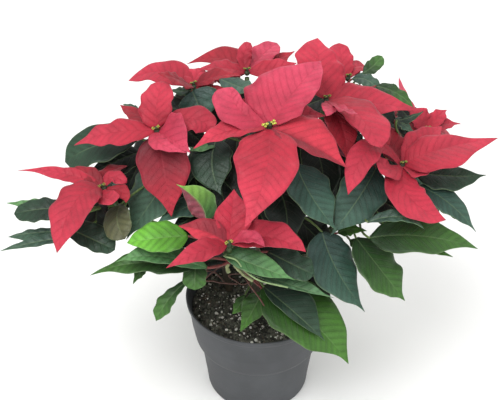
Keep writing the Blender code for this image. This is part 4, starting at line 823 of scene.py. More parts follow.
def leaf_rule(head, rng):
    """How leaves are drawn for a branch by rule, spread round it."""
    heading = math.atan2(head.middle.y, head.middle.x)

    def draw(index):
        start = head.along(LEAF_START - LEAF_START_STEP * index)
        outward = spoke(heading + rng.uniform(*LEAF_SPREAD))
        reach = rng.uniform(*PETIOLE_LENGTH)
        base = start + outward * reach + UP * (reach * rng.uniform(*PETIOLE_RISE))
        length = rng.uniform(*LEAF_LENGTH)
        droop = rng.uniform(*LEAF_DROOP)
        tip = base + outward * length * math.cos(droop) - UP * (length * math.sin(droop))
        middle = base.lerp(tip, 0.5) + UP * (length * rng.uniform(*BLADE_ARCH))
        half = length * rng.uniform(*LEAF_HALF_WIDTH)
        return Blade("plant_" + head.cutting, "broad", "", [base, middle, tip], leaning(outward),
                     (half, half), rng.uniform(*LEAF_FOLD), rng.uniform(*BLADE_ROLL), start)
    return draw


def ruled_blades(heads, garden, rule, counts, may_fill_gap, rng):
    """Blades placed by rule, each drawn anew until it is clear and keeps the front view."""
    blades = []
    for name, head in heads.items():
        draw = rule(head, rng)
        for index in range(counts["back" if name in BACK_HEADS else "front"]):
            for attempt in range(DRAWS):
                blade = draw(index)
                if accept(garden, blade, may_fill_gap):
                    blades.append(blade)
                    break
    return blades


def accept(garden, blade, may_fill_gap):
    """Remember a blade that is clear and doesn't change the front view."""
    points = blade.checkpoints()
    if not all(inside_outline(point) for point in points):
        return False
    if any(garden.shows(point, may_fill_gap) for point in points):
        return False
    full, outer = padded(blade)
    if garden.hits(blade.owner, full, outer):
        return False
    garden.add(blade.owner, full, outer)
    return True


def pot_profile():
    """The pot's section from the middle of the floor, up the inside and down the outside."""
    section = [(POT_OUTSIDE[POT_FLOOR_ROW][0] - POT_WALL, POT_FOOT_RECESS + POT_FLOOR)]
    section += pot_wall_inside()[::-1]
    section += [(POT_RIM_RADIUS - POT_WALL, POT_HEIGHT - POT_LIP_ROUND),
                (POT_RIM_RADIUS - POT_LIP_ROUND, POT_HEIGHT)]
    section += POT_OUTSIDE
    section += [(POT_FOOT_INNER, 0.0), (POT_FOOT_INNER - 1.0, POT_FOOT_RECESS),
                (POT_FOOT_PAD + 1.0, POT_FOOT_RECESS), (POT_FOOT_PAD, 0.0)]
    return section


def branch_radius(share):
    """Radius of a branch at a share of its length."""
    return BRANCH_RADIUS + (BRANCH_TIP_RADIUS - BRANCH_RADIUS) * share


def trunk_points(name):
    """Foot of a cutting's trunk, its place a little over the soil, and its fork."""
    (x, y), fork = CUTTINGS[name]
    foot = Vector((x, y, SOIL_TOP - STEM_HOLE_DEPTH + SOIL_GAP))
    return foot, Vector((x, y, SOIL_TOP + CUT_PAST)), Vector(fork)


def stem_solids(name, heads):
    """The trunk of a cutting and its branches."""
    foot, surface, fork = trunk_points(name)
    radii = [STEM_RADIUS] * 3 + [STEM_RADIUS - TRUNK_TAPER]
    solids = [tube([foot, surface, surface.lerp(fork, 0.5), fork], radii, TRUNK_SIDES)]
    shares = [step / BRANCH_STEPS for step in range(BRANCH_STEPS + 1)]
    for head in heads.values():
        if head.cutting == name:
            points = [head.along(share) for share in shares]
            solids.append(tube(points, [branch_radius(share) for share in shares], STEM_SIDES))
    return solids


def knob(head):
    """The small swelling that carries a head's bracts."""
    return ball(head.middle, head.axis, KNOB_RADIUS, KNOB_RADIUS, KNOB_SIDES, BALL_RINGS)


def cups(head):
    """The small flowers of a head on their common base, as in the solids."""
    foot = head.middle + head.axis * (KNOB_RADIUS + KNOB_SEAT)
    base_radii = [CUP_BASE_RADIUS, CUP_BASE_RADIUS + CUP_BASE_FLARE]
    solids = [tube([foot, foot + head.axis * CUP_BASE_HEIGHT], base_radii, CUP_SIDES)]
    across, over = square_to(head.axis)
    for index in range(CUP_COUNT):
        place = foot + swung(across, over, FULL_TURN * index / CUP_COUNT) * CUP_SPREAD
        lift = head.axis * (CUP_LIFT + CUP_STEP * (index % 2))
        lean = (head.axis + (place - foot) * CUP_LEAN).normalized()
        solids.append(ball(place + lift, lean, CUP_RADIUS, CUP_HEIGHT / 2, CUP_SIDES, BALL_RINGS))
    return solids


# Fine blades: columns across as shares of the half width, spacing of the rows and thickness.
COLUMNS = (-1.0, -0.84, -0.62, -0.4, -0.2, -0.07, 0.0, 0.07, 0.2, 0.4, 0.62, 0.84, 1.0)
ROW_SPACING = 2.4
FEWEST_ROWS = 16
MOST_ROWS = 46
SHEET_THICK = 0.5
VEIN_SPACING = 8.5
VEIN_SLOPE = 0.7
VEIN_CURVE = 0.25
VEIN_OFFSET = 0.37
FOLD_START = (0.0, 0.12)
FOLD_ROUND = 1.6
MARGIN_DROP = 0.10
MIDRIB_GROOVE = 0.45
MIDRIB_WIDTH = 1.0
QUILTING = 1.1
QUILT_SHARPNESS = 0.7
QUILT_MIDDLE = 0.6
RIPPLE = (0.9, 1.875)
RIPPLE_START = (0.1, 0.3)
RIPPLE_TO_EDGE = 1.7
RIPPLE_WAVES = (2.6, 4.4)
WOBBLE = 0.045
WOBBLE_WAVES = (2.0, 3.6)
TWIST = 5.0
TWIST_CENTRE = 0.35
SHADE = (0.88, 1.08)
TINT_SPAN = (0.1, 0.95)
OTHER_SIDE_SPAN = (0.05, -0.15)

# Raised midribs and fine stems.
MIDRIB_RADIUS = 0.75
LEAF_MIDRIB_SHARE = 1.3
MIDRIB_TAPER = 0.75
MIDRIB_SHARE = 0.92
MIDRIB_STEPS = 12
MIDRIB_SIDES = 6
MIDRIB_SUNK = 0.35
PETIOLE_RADII = (1.4375, 1.0625)
PETIOLE_SIDES = 8
PETIOLE_STEPS = 8
PETIOLE_BEND = 0.45
ROD_SIDES = 14
BRANCH_RINGS = 26
JOINT_SPACING = 0.11
JOINT_SWELL = (0.14, 0.35)
TRUNK_STEPS = 10
TRUNK_BUMP = 0.25
TRUNK_BUMP_STEP = 0.7


def colour(red, green, blue):
    """Linear colour from everyday values of 0 to 255."""
    linear = []
    for value in (red, green, blue):
        share = value / 255.0
        linear.append(share / 12.92 if share <= 0.04045 else ((share + 0.055) / 1.055) ** 2.4)
    return Vector(linear)


# Colours of a blade at its base, at its tip, and on its other side where that differs, and the
# tones that blades placed by rule are given. Several of them are painted light and shade: the
# lighter rose and pink reds are painted light on bracts that catch it; the dark wine red is
# painted shade on bracts that lie in shade, and one of the tones drawn for blades placed by rule;
# the red of the big lower bract of head 02 darkens to its base as painted shade from the bracts
# over it; the shaded red has a painted dark half and a painted lit half; the shadow green is
# painted shade on leaves deep in the plant.
TONES = {
    "deep": (colour(22, 38, 30), colour(38, 62, 44)),
    "blue": (colour(36, 58, 52), colour(56, 84, 70)),
    "grey": (colour(42, 64, 54), colour(66, 92, 74)),
    "mid": (colour(30, 54, 26), colour(62, 100, 44)),
    "bright": (colour(34, 66, 20), colour(66, 110, 38)),
    "lime": (colour(70, 122, 34), colour(94, 156, 50)),
    "olive": (colour(62, 66, 46), colour(80, 82, 56)),
    "light": (colour(52, 88, 52), colour(84, 128, 76)),
    "edged": (colour(50, 78, 56), colour(76, 112, 74)),
    "shadow": (colour(9, 17, 12), colour(14, 25, 18)),
    "turning": (colour(38, 72, 34), colour(110, 150, 62), colour(112, 50, 60)),
    "red": (colour(146, 26, 44), colour(172, 44, 63)),
    "rose": (colour(158, 38, 60), colour(178, 56, 80)),
    "pink": (colour(188, 60, 82), colour(200, 80, 100)),
    "wine": (colour(120, 18, 32), colour(148, 30, 44)),
    # Dark clockwise half as painted shade, and lit other half as painted light.
    "shaded": (colour(118, 24, 38), colour(140, 32, 46), colour(178, 46, 62)),
    "young": (colour(84, 46, 50), colour(128, 38, 60)),
    # Dark at the base as painted shade, lighter at the tip.
    "ripe": (colour(94, 18, 30), colour(160, 36, 52)),
}
# The dark wine red among these is a tone that differs at random here, and painted shade on the drawn
# bracts.
RULED_BRACT_TONES = ("red", "red", "wine")
RULED_LEAF_TONES = ("deep", "mid", "blue", "grey")
STEM_GREEN = colour(60, 82, 42)
STEM_BROWN = colour(58, 50, 38)
PETIOLE_GREEN = colour(84, 106, 52)
PETIOLE_RED = colour(112, 50, 46)
KNOB_COLOUR = colour(36, 46, 24)


def eased(start, end, value):
    """0 on the far side of start, 1 past end, and a smooth rise between them."""
    share = min(max((value - start) / (end - start), 0.0), 1.0)
    return share * share * (3.0 - 2.0 * share)


def edge_slopes(rows):
    """Slopes of a smooth outline through its rows, with no overshoot."""
    steps = [(high - low) / (end - start) for (start, low), (end, high) in zip(rows, rows[1:])]
    middle = [2.0 * before * after / (before + after) if before * after > 0 else 0.0
              for before, after in zip(steps, steps[1:])]
    return [steps[0], *middle, steps[-1]]


def smooth_edges(shape):
    """The clockwise edge and the other edge of a shape, each with its slopes."""
    edges = [[(row[0], row[half]) for row in SHAPES[shape]] for half in (1, -1)]
    return [(rows, edge_slopes(rows)) for rows in edges]


EDGES = {shape: smooth_edges(shape) for shape in SHAPES}


def edge_width(shape, half, share):
    """Half width of a smooth outline at a share of the length, on one of its halves."""
    rows, slopes = EDGES[shape][half]
    index = 0
    while index < len(rows) - 2 and share > rows[index + 1][0]:
        index += 1
    (start, low), (end, high) = rows[index], rows[index + 1]
    span = end - start
    t = (share - start) / span
    rise = t * t * (3.0 - 2.0 * t)
    return (low + (high - low) * rise
            + slopes[index] * span * t * (1.0 - t) ** 2
            - slopes[index + 1] * span * t * t * (1.0 - t))


class Look:
    """What makes one blade differ from the next."""

    def __init__(self, rng, tone):
        self.base, self.tip, *self.other = TONES[tone]
        self.twist = math.radians(rng.uniform(-TWIST, TWIST))
        self.ripple = rng.uniform(*RIPPLE)
        self.waves = rng.uniform(*RIPPLE_WAVES)
        self.phases = (rng.uniform(0, FULL_TURN), rng.uniform(0, FULL_TURN))
        self.wobble_waves = rng.uniform(*WOBBLE_WAVES)
        self.shade = rng.uniform(*SHADE)

    def tint(self, share, across):
        """Colour at a place on the blade."""
        tint = self.base.lerp(self.tip, eased(*TINT_SPAN, share))
        # The other side's colour is the real red of a turning leaf, and the painted lit half of the
        # shaded tone.
        for other in self.other:
            tint = tint.lerp(other, eased(*OTHER_SIDE_SPAN, across))
        return tint * self.shade


class Sheet:
    """Blades gathered into one mesh, with what their material reads at each vertex."""

    def __init__(self):
        self.vertices = []
        self.faces = []
        self.marks = {"along": [], "across": [], "reach": [], "vein": []}
        self.tints = []

    def add(self, blade, look):
        """Add the fine surface of one blade."""
        base, middle, tip = blade.midrib
        length = (middle - base).length + (tip - middle).length
        count = min(max(int(length / ROW_SPACING), FEWEST_ROWS), MOST_ROWS)
        start = len(self.vertices)
        for row in range(count):
            self.add_row(blade, look, row / count, length)
        self.vertices.append(blade.point(1.0))
        self.mark(look, 1.0, 0.0, 0.0, length / VEIN_SPACING)
        self.add_faces(start, count)

    def add_row(self, blade, look, share, length):
        """Add one row of vertices across a blade."""
        ahead = blade.ahead(share).normalized()
        turn = Matrix.Rotation(look.twist * (share - TWIST_CENTRE), 3, ahead)
        side, normal = (turn @ way for way in blade.frame(ahead))
        point = blade.point(share)
        widths = [edge_width(blade.shape, half, share) for half in (0, 1)]
        fold = math.radians(blade.fold) * eased(*FOLD_START, share)
        for across in COLUMNS:
            half = 0 if across >= 0 else 1
            sign = 1.0 - 2.0 * half
            phase = look.phases[half]
            width = sum(widths) / 2 if across == 0 else widths[half]
            wobble = 1.0 + WOBBLE * math.sin(FULL_TURN * look.wobble_waves * share + 2 * phase)
            widest = blade.widths[half]
            reach = widest * width * abs(across) * (wobble if share > ROOT_SHARE else 1.0)
            bend = (VEIN_SLOPE * reach + VEIN_CURVE * reach ** 2 / widest) / length
            vein = length / VEIN_SPACING * (share - bend)
            rise = math.sin(fold) * (math.hypot(reach, FOLD_ROUND) - FOLD_ROUND)
            rise -= MARGIN_DROP * reach * abs(across)
            ripple = math.sin(FULL_TURN * look.waves * share + phase) * eased(*RIPPLE_START, share)
            rise += look.ripple * width * abs(across) ** RIPPLE_TO_EDGE * ripple
            swell = abs(math.sin(math.pi * (vein + VEIN_OFFSET * (1 - half))))
            quilt = swell ** QUILT_SHARPNESS - QUILT_MIDDLE
            rise += QUILTING * quilt * math.sqrt(abs(across)) * width * (1.0 - across ** 4)
            rise -= MIDRIB_GROOVE * math.exp(-(reach / MIDRIB_WIDTH) ** 2) * width
            self.vertices.append(point + side * sign * reach * math.cos(fold) + normal * rise)
            self.mark(look, share, across, reach * sign, vein)

    def mark(self, look, share, across, reach, vein):
        """Note what the material reads at the last vertex."""
        for marks, value in zip(self.marks.values(), (share, across, reach, vein)):
            marks.append(value)
        self.tints.append(look.tint(share, across))

    def add_faces(self, start, count):
        """Join the rows of the last blade, with a fan at its tip."""
        wide = len(COLUMNS)
        tip = start + count * wide
        for row in range(start, tip - wide, wide):
            self.faces += [(a, a + 1, a + 1 + wide, a + wide) for a in range(row, row + wide - 1)]
        self.faces += [(a, a + 1, tip) for a in range(tip - wide, tip - 1)]


def petiole_rod(blade):
    """The stalk of a leaf, from its branch to the blade."""
    base = blade.midrib[0]
    ahead = blade.ahead(0.0).normalized()
    reach = (base - blade.petiole).length
    bend = blade.petiole.lerp(base, 0.5).lerp(base - ahead * reach * 0.5, PETIOLE_BEND)
    shares = [step / PETIOLE_STEPS for step in range(PETIOLE_STEPS + 1)]
    thick, thin = PETIOLE_RADII
    return tube([bezier((blade.petiole, bend, base), share) for share in shares],
                [thick + (thin - thick) * share for share in shares], PETIOLE_SIDES)


def midrib_rod(blade):
    """The raised midrib on the underside of a blade."""
    points = []
    radii = []
    thick = MIDRIB_RADIUS * (LEAF_MIDRIB_SHARE if blade.petiole is not None else 1.0)
    for step in range(MIDRIB_STEPS + 1):
        share = MIDRIB_SHARE * step / MIDRIB_STEPS
        normal = blade.frame(blade.ahead(share).normalized())[1]
        radii.append(thick * (1.0 - MIDRIB_TAPER * share))
        points.append(blade.point(share) - normal * (MIDRIB_GROOVE + radii[-1] * MIDRIB_SUNK))
    return tube(points, radii, MIDRIB_SIDES)


def branch_rod(head, rng):
    """A branch with slightly swollen joints, and its colours from old to young."""
    points = []
    radii = []
    tints = []
    for share in (ring / BRANCH_RINGS for ring in range(BRANCH_RINGS + 1)):
        swell = max(0.0, math.cos(FULL_TURN * share / JOINT_SPACING)) ** 6
        points.append(head.along(share))
        radii.append(branch_radius(share) + swell * rng.uniform(*JOINT_SWELL))
        tints += [STEM_BROWN.lerp(STEM_GREEN, eased(0.05, 0.6, share))] * ROD_SIDES
    return tube(points, radii, ROD_SIDES), tints


def trunk_rod(name):
    """The woody foot of a cutting, from its hole in the soil up to its fork."""
    foot, surface, fork = trunk_points(name)
    points = [foot, foot.lerp(surface, 0.5), surface]
    points += [surface.lerp(fork, step / TRUNK_STEPS) for step in range(1, TRUNK_STEPS + 1)]
    radii = []
    for index in range(len(points)):
        bump = TRUNK_BUMP * noise.noise(Vector((index * TRUNK_BUMP_STEP, foot.x, foot.y)))
        radii.append(STEM_RADIUS + bump - TRUNK_TAPER * index / len(points))
    return tube(points, radii, ROD_SIDES)


def new_mesh(name, vertices, faces, mend=False):
    """Smooth mesh from points in mm and faces, with all faces turned outward if it needs that."""
    mesh = bpy.data.meshes.new(name)
    mesh.from_pydata([vertex * MM for vertex in vertices], [], faces)
    edit = bmesh.new()
    edit.from_mesh(mesh)
    if mend:
        bmesh.ops.recalc_face_normals(edit, faces=edit.faces)
    edit.to_mesh(mesh)
    edit.free()
    mesh.polygons.foreach_set("use_smooth", [True] * len(mesh.polygons))
    return mesh


def new_object(name, data):
    """Object in the scene for a mesh, light or camera."""
    made = bpy.data.objects.new(name, data)
    bpy.context.scene.collection.objects.link(made)
    return made


def add_marks(mesh, marks, tints):
    """Store what the materials read at each vertex."""
    for name, values in marks.items():
        mesh.attributes.new(name, "FLOAT", "POINT").data.foreach_set("value", values)
    flat = [value for tint in tints for value in (*tint, 1.0)]
    mesh.attributes.new("tint", "FLOAT_COLOR", "POINT").data.foreach_set("color", flat)


def new_piece(name, mesh, materials, nodes=()):
    """Object for a mesh that rides on the plant and may stand for CAD nodes."""
    piece = new_object(name, mesh)
    for material in materials:
        mesh.materials.append(material)
    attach(piece, "root")
    if nodes:
        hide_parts(*nodes)
    return piece


def sheet_piece(name, sheet, materials, nodes=()):
    """Blades as thin closed sheets, with their own material underneath."""
    mesh = new_mesh(name, sheet.vertices, sheet.faces)
    add_marks(mesh, sheet.marks, sheet.tints)
    shell = new_piece(name, mesh, materials, nodes).modifiers.new("Thickness", "SOLIDIFY")
    shell.thickness = SHEET_THICK * MM
    shell.offset = 0.0
    shell.material_offset = 1
    shell.material_offset_rim = 1


def rod_piece(name, rods, material, nodes=()):
    """Rods and lumps as one piece."""
    mesh = new_mesh(name, rods.vertices, rods.faces)
    add_marks(mesh, {}, rods.tints)
    new_piece(name, mesh, [material], nodes)


# Small flowers: two tufts of urns in the middle of a head, each urn with a gland on its side. The
# sizes of an urn are shares of its own size, as are the radii and half heights of what it carries.
# The balls of the base, the glands and the stamens have these sides and rings.
TUFT_URNS = 4
TUFT_APART = 3.0
TUFT_DROP = 2.6
TUFT_SINK = 1.5
TUFT_BASE = (3.0, 2.4)
BASE_BALL = (12, 6)
GLAND_BALL = (8, 5)
STAMEN_BALL = (6, 4)
URN_SPREAD = 1.15
URN_UNEVEN = (-0.2, 0.2)
URN_YELLOWING = (1.0, 3.6)
URN_SIZE = (0.5, 0.72)
URN_LIFT = (0.6, 1.6)
URN_LEAN = (0.35, 0.25)
URN_PROFILE = [(0.5, 0.0), (1.15, 0.7), (1.55, 1.9), (1.5, 3.0), (1.15, 3.8), (0.85, 3.9),
               (0.6, 3.3)]
URN_SIDES = 10
GLAND_PLACE = (2.9, 1.55)
GLAND = (0.75, 0.6)
STAMENS = 4
STAMEN_CIRCLE = 0.55
STAMEN_TOP = 4.0
STAMEN_RISE = (-0.2, 0.5)
STAMEN = (0.34, 0.5)
URN_GREEN = colour(84, 116, 34)
URN_YELLOW = colour(190, 200, 84)
GLAND_YELLOW = colour(222, 210, 96)
STAMEN_RED = colour(150, 60, 44)
TUFT_STALK = colour(40, 54, 24)

# Bare stalks over the soil on the drawing plane: colour, radius, nearness, and (right, up) points.
STALKS = [
    ("brown", 0.8, -58, [(-42, -67), (-34, -68), (-26, -67)]),
    ("brown", 0.8, -56, [(-43, -69), (-36, -72), (-30, -77), (-26, -82)]),
    ("brown", 0.9, -54, [(-44, -78), (-36, -81), (-28, -83), (-12, -84)]),
    ("brown", 0.8, -46, [(-21, -75), (-14, -81), (-7, -84.5), (1, -81)]),
    ("red", 0.7, 8, [(-1, -84), (4, -91), (10, -99), (15, -107), (21, -111)]),
    ("pale", 1.9, 20, [(-24, -54), (-21, -61), (-23, -67), (-21, -73)]),
    ("pale", 1.6, 22, [(-15, -66), (-10, -71), (-6, -75), (3, -81)]),
    ("brown", 1.0, 24, [(-22, -57), (-14, -59), (-9, -64), (-6, -71), (1, -76)]),
    ("edge", 0.75, 60, [(-26, -56), (-14, -60), (-7, -69), (0, -75), (12, -81.5), (38, -87.5)]),
]
STALK_COLOURS = {"brown": colour(88, 56, 48), "red": colour(84, 44, 36),
                 "pale": colour(146, 154, 108), "edge": colour(122, 146, 98)}
STALK_STEPS = 5
STALK_UNEVEN = (0.85, 1.15)

# The surface of the soil. The grains on it are given by count, radii, colours, rounds of their
# form and the share of them that is sunk, and lie in patches with fewer of them between.
SOIL_SIDES = 96
SOIL_RING_STEP = 2.2
SOIL_CLUMPS = 2.2
SOIL_CLUMP_SIZE = 9.0
SOIL_FINER = 3.1
SOIL_EDGE = (60.0, 74.0)
CRUMBS = (1300, (0.6, 2.2), (colour(36, 38, 33), colour(120, 120, 106)), 1, 0.5)
PERLITE = (460, (0.45, 1.9), (colour(186, 182, 172), colour(240, 238, 232)), 2, 0.35)
GRAIN_SHAPES = 9
GRAIN_STRETCH = ((0.75, 1.25), (0.75, 1.25), (0.6, 0.95))
GRAIN_BULGE = 0.32
GRAIN_BULGE_SIZE = 1.4
GRAIN_TILT = (-0.6, 0.6)
GRAIN_EDGE_GAP = 2.5
GRAIN_STEM_GAP = 1.5
PATCH_SIZE = 15.0
PATCH_SHARE = 0.22
FIBRES = 40
FIBRE_COLOUR = (colour(66, 54, 42), colour(108, 92, 70))
FIBRE_CIRCLE = 66.0
FIBRE_BEND = (-3.0, 3.0)
FIBRE_REACH = (3.0, 9.0)
FIBRE_RADIUS = (0.25, 0.6)
FIBRE_RADII = (0.6, 1.0, 1.0, 1.0, 0.5)
FIBRE_LIFT = 0.9

# The pot's finer form.
FINE_POT_SIDES = 160
POT_ROUNDING = 1.2
POT_ROUND_STEPS = 4
POT_ROUND_SHARE = 0.4
FINE_DRAIN_SIDES = 24


def urn(place, lean, size, rng):
    """Solids and colours of one small flower."""
    turn = UP.rotation_difference(lean).to_matrix()
    vertices, faces = turned(URN_PROFILE, URN_SIDES)
    tints = [URN_GREEN.lerp(URN_YELLOW, eased(*URN_YELLOWING, vertex.z)) for vertex in vertices]
    vertices = [place + turn @ (vertex * size) for vertex in vertices]
    outward = turn @ RIGHTWARDS
    lift, reach = GLAND_PLACE
    gland = ball(place + (lean * lift + outward * reach) * size, outward,
                 *(radius * size for radius in GLAND), *GLAND_BALL)
    parts = [((vertices, faces), tints), (gland, [GLAND_YELLOW] * len(gland[0]))]
    for index in range(STAMENS):
        flat = turn @ spoke(FULL_TURN * (index + rng.random()) / STAMENS) * STAMEN_CIRCLE * size
        top = place + lean * (STAMEN_TOP + rng.uniform(*STAMEN_RISE)) * size + flat
        stamen = ball(top, lean, *(radius * size for radius in STAMEN), *STAMEN_BALL)
        parts.append((stamen, [STAMEN_RED if index % 2 else GLAND_YELLOW] * len(stamen[0])))
    return parts


def flower_cluster(head, size, bright, rng):
    """The small flowers of a head, in two tufts on a common base."""
    rods = Rods()
    foot = head.middle + head.axis * (KNOB_RADIUS + KNOB_SEAT - TUFT_SINK)
    across = (RIGHTWARDS - head.axis * head.axis.x).normalized()
    over = head.axis.cross(across)
    radius, length = TUFT_BASE
    rods.add(ball(foot, head.axis, radius * size, length, *BASE_BALL), TUFT_STALK)
    for tuft in (-1, 1):
        middle = foot + across * TUFT_APART * size * tuft - over * TUFT_DROP * size * (tuft < 0)
        for index in range(TUFT_URNS):
            angle = FULL_TURN * (index + rng.uniform(*URN_UNEVEN)) / TUFT_URNS
            outward = swung(across, over, angle)
            place = middle + outward * URN_SPREAD * size + head.axis * rng.uniform(*URN_LIFT)
            lean = head.axis + outward * URN_LEAN[0] + across * URN_LEAN[1] * tuft
            for solid, tints in urn(place, lean.normalized(), size * rng.uniform(*URN_SIZE), rng):
                rods.add(solid, [TUFT_STALK.lerp(tint, bright) for tint in tints])
    return rods


def smooth_path(points):
    """A curve through points, each reached in a few even steps."""
    whole = [points[0]] + points + [points[-1]]
    path = [points[0]]
    for before, start, end, after in zip(whole, whole[1:], whole[2:], whole[3:]):
        for step in range(1, STALK_STEPS + 1):
            t = step / STALK_STEPS
            turn_in, turn_out = (end - before) * 0.5, (after - start) * 0.5
            path.append(start * (2 * t ** 3 - 3 * t ** 2 + 1) + end * (3 * t ** 2 - 2 * t ** 3)
                        + turn_in * (t ** 3 - 2 * t ** 2 + t) + turn_out * (t ** 3 - t ** 2))
    return path


def bare_stalks(heads, rng):
    """Old leaf stalks that show over the soil, each from the nearest place on a branch."""
    rods = Rods()
    joints = [head.along(share) for head in heads.values() for share in LEAF_PLACES]
    for name, radius, near, places in STALKS:
        points = [seen(right, up, near) for right, up in places]
        joint = min(joints, key=lambda place: (place - points[0]).length)
        points = smooth_path([joint] + points)
        radii = [radius * rng.uniform(*STALK_UNEVEN) for point in points]
        rods.add(tube(points, radii, PETIOLE_SIDES), STALK_COLOURS[name])
    return rods


def lump(rng, rounds):
    """An irregular grain about 1 mm in radius: its vertices and faces."""
    edit = bmesh.new()
    bmesh.ops.create_icosphere(edit, subdivisions=rounds, radius=1.0)
    seed = Vector([rng.uniform(0, 50) for way in range(3)])
    stretch = Vector([rng.uniform(*limits) for limits in GRAIN_STRETCH])
    vertices = []
    for vertex in edit.verts:
        bulge = 1.0 + GRAIN_BULGE * noise.noise(vertex.co * GRAIN_BULGE_SIZE + seed)
        vertices.append(Vector([a * b for a, b in zip(vertex.co, stretch)]) * bulge)
    faces = [tuple(corner.index for corner in face.verts) for face in edit.faces]
    edit.free()
    return vertices, faces


def pot_wall_inside():
    """Radius and height of the pot's wall on the inside, from the top row down."""
    return [(POT_OUTSIDE[row][0] - POT_WALL, POT_OUTSIDE[row][1]) for row in POT_INSIDE_ROWS][::-1]


def soil_edge(height):
    """Radius of the soil where it meets the pot's wall at a height."""
    (high_radius, high), (low_radius, low) = pot_wall_inside()[:2]
    share = (height - low) / (high - low)
    return low_radius + share * (high_radius - low_radius) - SOIL_GAP


def soil_height(x, y):
    """Height of the soil's surface."""
    wave = math.sin(x * SOIL_WAVE[0] + SOIL_WAVE_START) * math.cos(y * SOIL_WAVE[1])
    place = Vector((x, y, 0.0)) / SOIL_CLUMP_SIZE
    clumps = SOIL_CLUMPS * (noise.noise(place) + 0.5 * noise.noise(place * SOIL_FINER))
    edge = SOIL_EDGE_DROP * eased(*SOIL_EDGE, math.hypot(x, y))
    return SOIL_TOP + SOIL_ROUGHNESS * wave + clumps - edge


def soil_mesh():
    """The soil as a closed solid with an uneven surface."""
    edge = soil_edge(SOIL_TOP - SOIL_EDGE_DROP)
    rings = int(edge / SOIL_RING_STEP)
    profile = [(edge * ring / rings, SOIL_TOP) for ring in range(rings + 1)]
    profile += [(radius - SOIL_GAP, height) for radius, height in pot_wall_inside()[1:]]
    profile.append((POT_OUTSIDE[POT_FLOOR_ROW][0] - POT_WALL - SOIL_GAP - SOIL_FLOOR_INSET,
                    POT_FOOT_RECESS + POT_FLOOR + SOIL_GAP))
    vertices, faces = turned(profile, SOIL_SIDES)
    for vertex in vertices:
        if vertex.z >= SOIL_TOP:
            vertex.z = soil_height(vertex.x, vertex.y)
    return new_mesh("soil_bed", vertices, faces, True)


def scattered(count, radii, tones, rounds, sunk, rng):
    """Grains strewn over the soil in patches, gathered into one mesh."""
    rods = Rods()
    shapes = [lump(rng, rounds) for index in range(GRAIN_SHAPES)]
    edge = soil_edge(SOIL_TOP) - GRAIN_EDGE_GAP
    stems = [foot for foot, fork in CUTTINGS.values()]
    while count > 0:
        angle = rng.uniform(0, FULL_TURN)
        away = edge * math.sqrt(rng.random())
        x, y = away * math.cos(angle), away * math.sin(angle)
        if min(math.dist((x, y), stem) for stem in stems) < STEM_RADIUS + GRAIN_STEM_GAP:
            continue
        bare = noise.noise(Vector((x, y, PATCH_SIZE * rounds)) / PATCH_SIZE) < 0.0
        if bare and rng.random() > PATCH_SHARE:
            continue
        radius = radii[0] + (radii[1] - radii[0]) * rng.random() ** 2
        place = Vector((x, y, soil_height(x, y) + radius * (1.0 - sunk)))
        turn = Matrix.Rotation(rng.uniform(0, FULL_TURN), 3, UP)
        turn = turn @ Matrix.Rotation(rng.uniform(*GRAIN_TILT), 3, RIGHTWARDS)
        vertices, faces = rng.choice(shapes)
        tint = tones[0].lerp(tones[1], rng.random())
        rods.add(([place + turn @ vertex * radius for vertex in vertices], faces), tint)
        count -= 1
    return rods


def fibres(rng):
    """Bits of peat fibre and bark that lie on the soil."""
    rods = Rods()
    for index in range(FIBRES):
        angle = rng.uniform(0, FULL_TURN)
        middle = spoke(angle) * (FIBRE_CIRCLE * math.sqrt(rng.random()))
        along = spoke(rng.uniform(0, FULL_TURN))
        bend = UP.cross(along) * rng.uniform(*FIBRE_BEND)
        reach = rng.uniform(*FIBRE_REACH)
        points = [middle + along * reach * step + bend * step * step
                  for step in (-1.0, -0.5, 0.0, 0.5, 1.0)]
        for point in points:
            point.z = soil_height(point.x, point.y) + FIBRE_LIFT
        radius = rng.uniform(*FIBRE_RADIUS)
        tint = FIBRE_COLOUR[0].lerp(FIBRE_COLOUR[1], rng.random())
        rods.add(tube(points, [radius * share for share in FIBRE_RADII], 6), tint)
    return rods


def rounded(corners, radius):
    """A profile with its corners eased over the given distance."""
    corners = [Vector(corner) for corner in corners]
    path = [corners[0]]
    for before, corner, after in zip(corners, corners[1:], corners[2:]):
        start, end = (corner + way.normalized() * min(radius, POT_ROUND_SHARE * way.length)
                      for way in (before - corner, after - corner))
        path += [bezier((start, corner, end), step / POT_ROUND_STEPS)
                 for step in range(POT_ROUND_STEPS + 1)]
    return path + [corners[-1]]


def pot_mesh():
    """The pot as a turned shell with soft edges and drain holes."""
    solid = turned(rounded(pot_profile(), POT_ROUNDING), FINE_POT_SIDES)
    shell = new_object("pot_shell_solid", new_mesh("pot_shell", *solid, True))
    rods = Rods()
    for index in range(DRAIN_COUNT):
        place = spoke(FULL_TURN * (index + 0.5) / DRAIN_COUNT) * DRAIN_CIRCLE
        ends = [place - UP * CUT_PAST, place + UP * (POT_FLOOR + POT_FOOT_RECESS + CUT_PAST)]
        rods.add(tube(ends, [DRAIN_RADIUS, DRAIN_RADIUS], FINE_DRAIN_SIDES))
    cutter = new_object("drain_cutter", new_mesh("drain_cutter", rods.vertices, rods.faces, True))
    holes = shell.modifiers.new("Holes", "BOOLEAN")
    holes.operation = "DIFFERENCE"
    holes.solver = "EXACT"
    holes.object = cutter
    bpy.context.view_layer.update()
    cut = bpy.data.meshes.new_from_object(shell.evaluated_get(bpy.context.evaluated_depsgraph_get()))
    for made in (shell, cutter):
        bpy.data.objects.remove(made)
    return cut
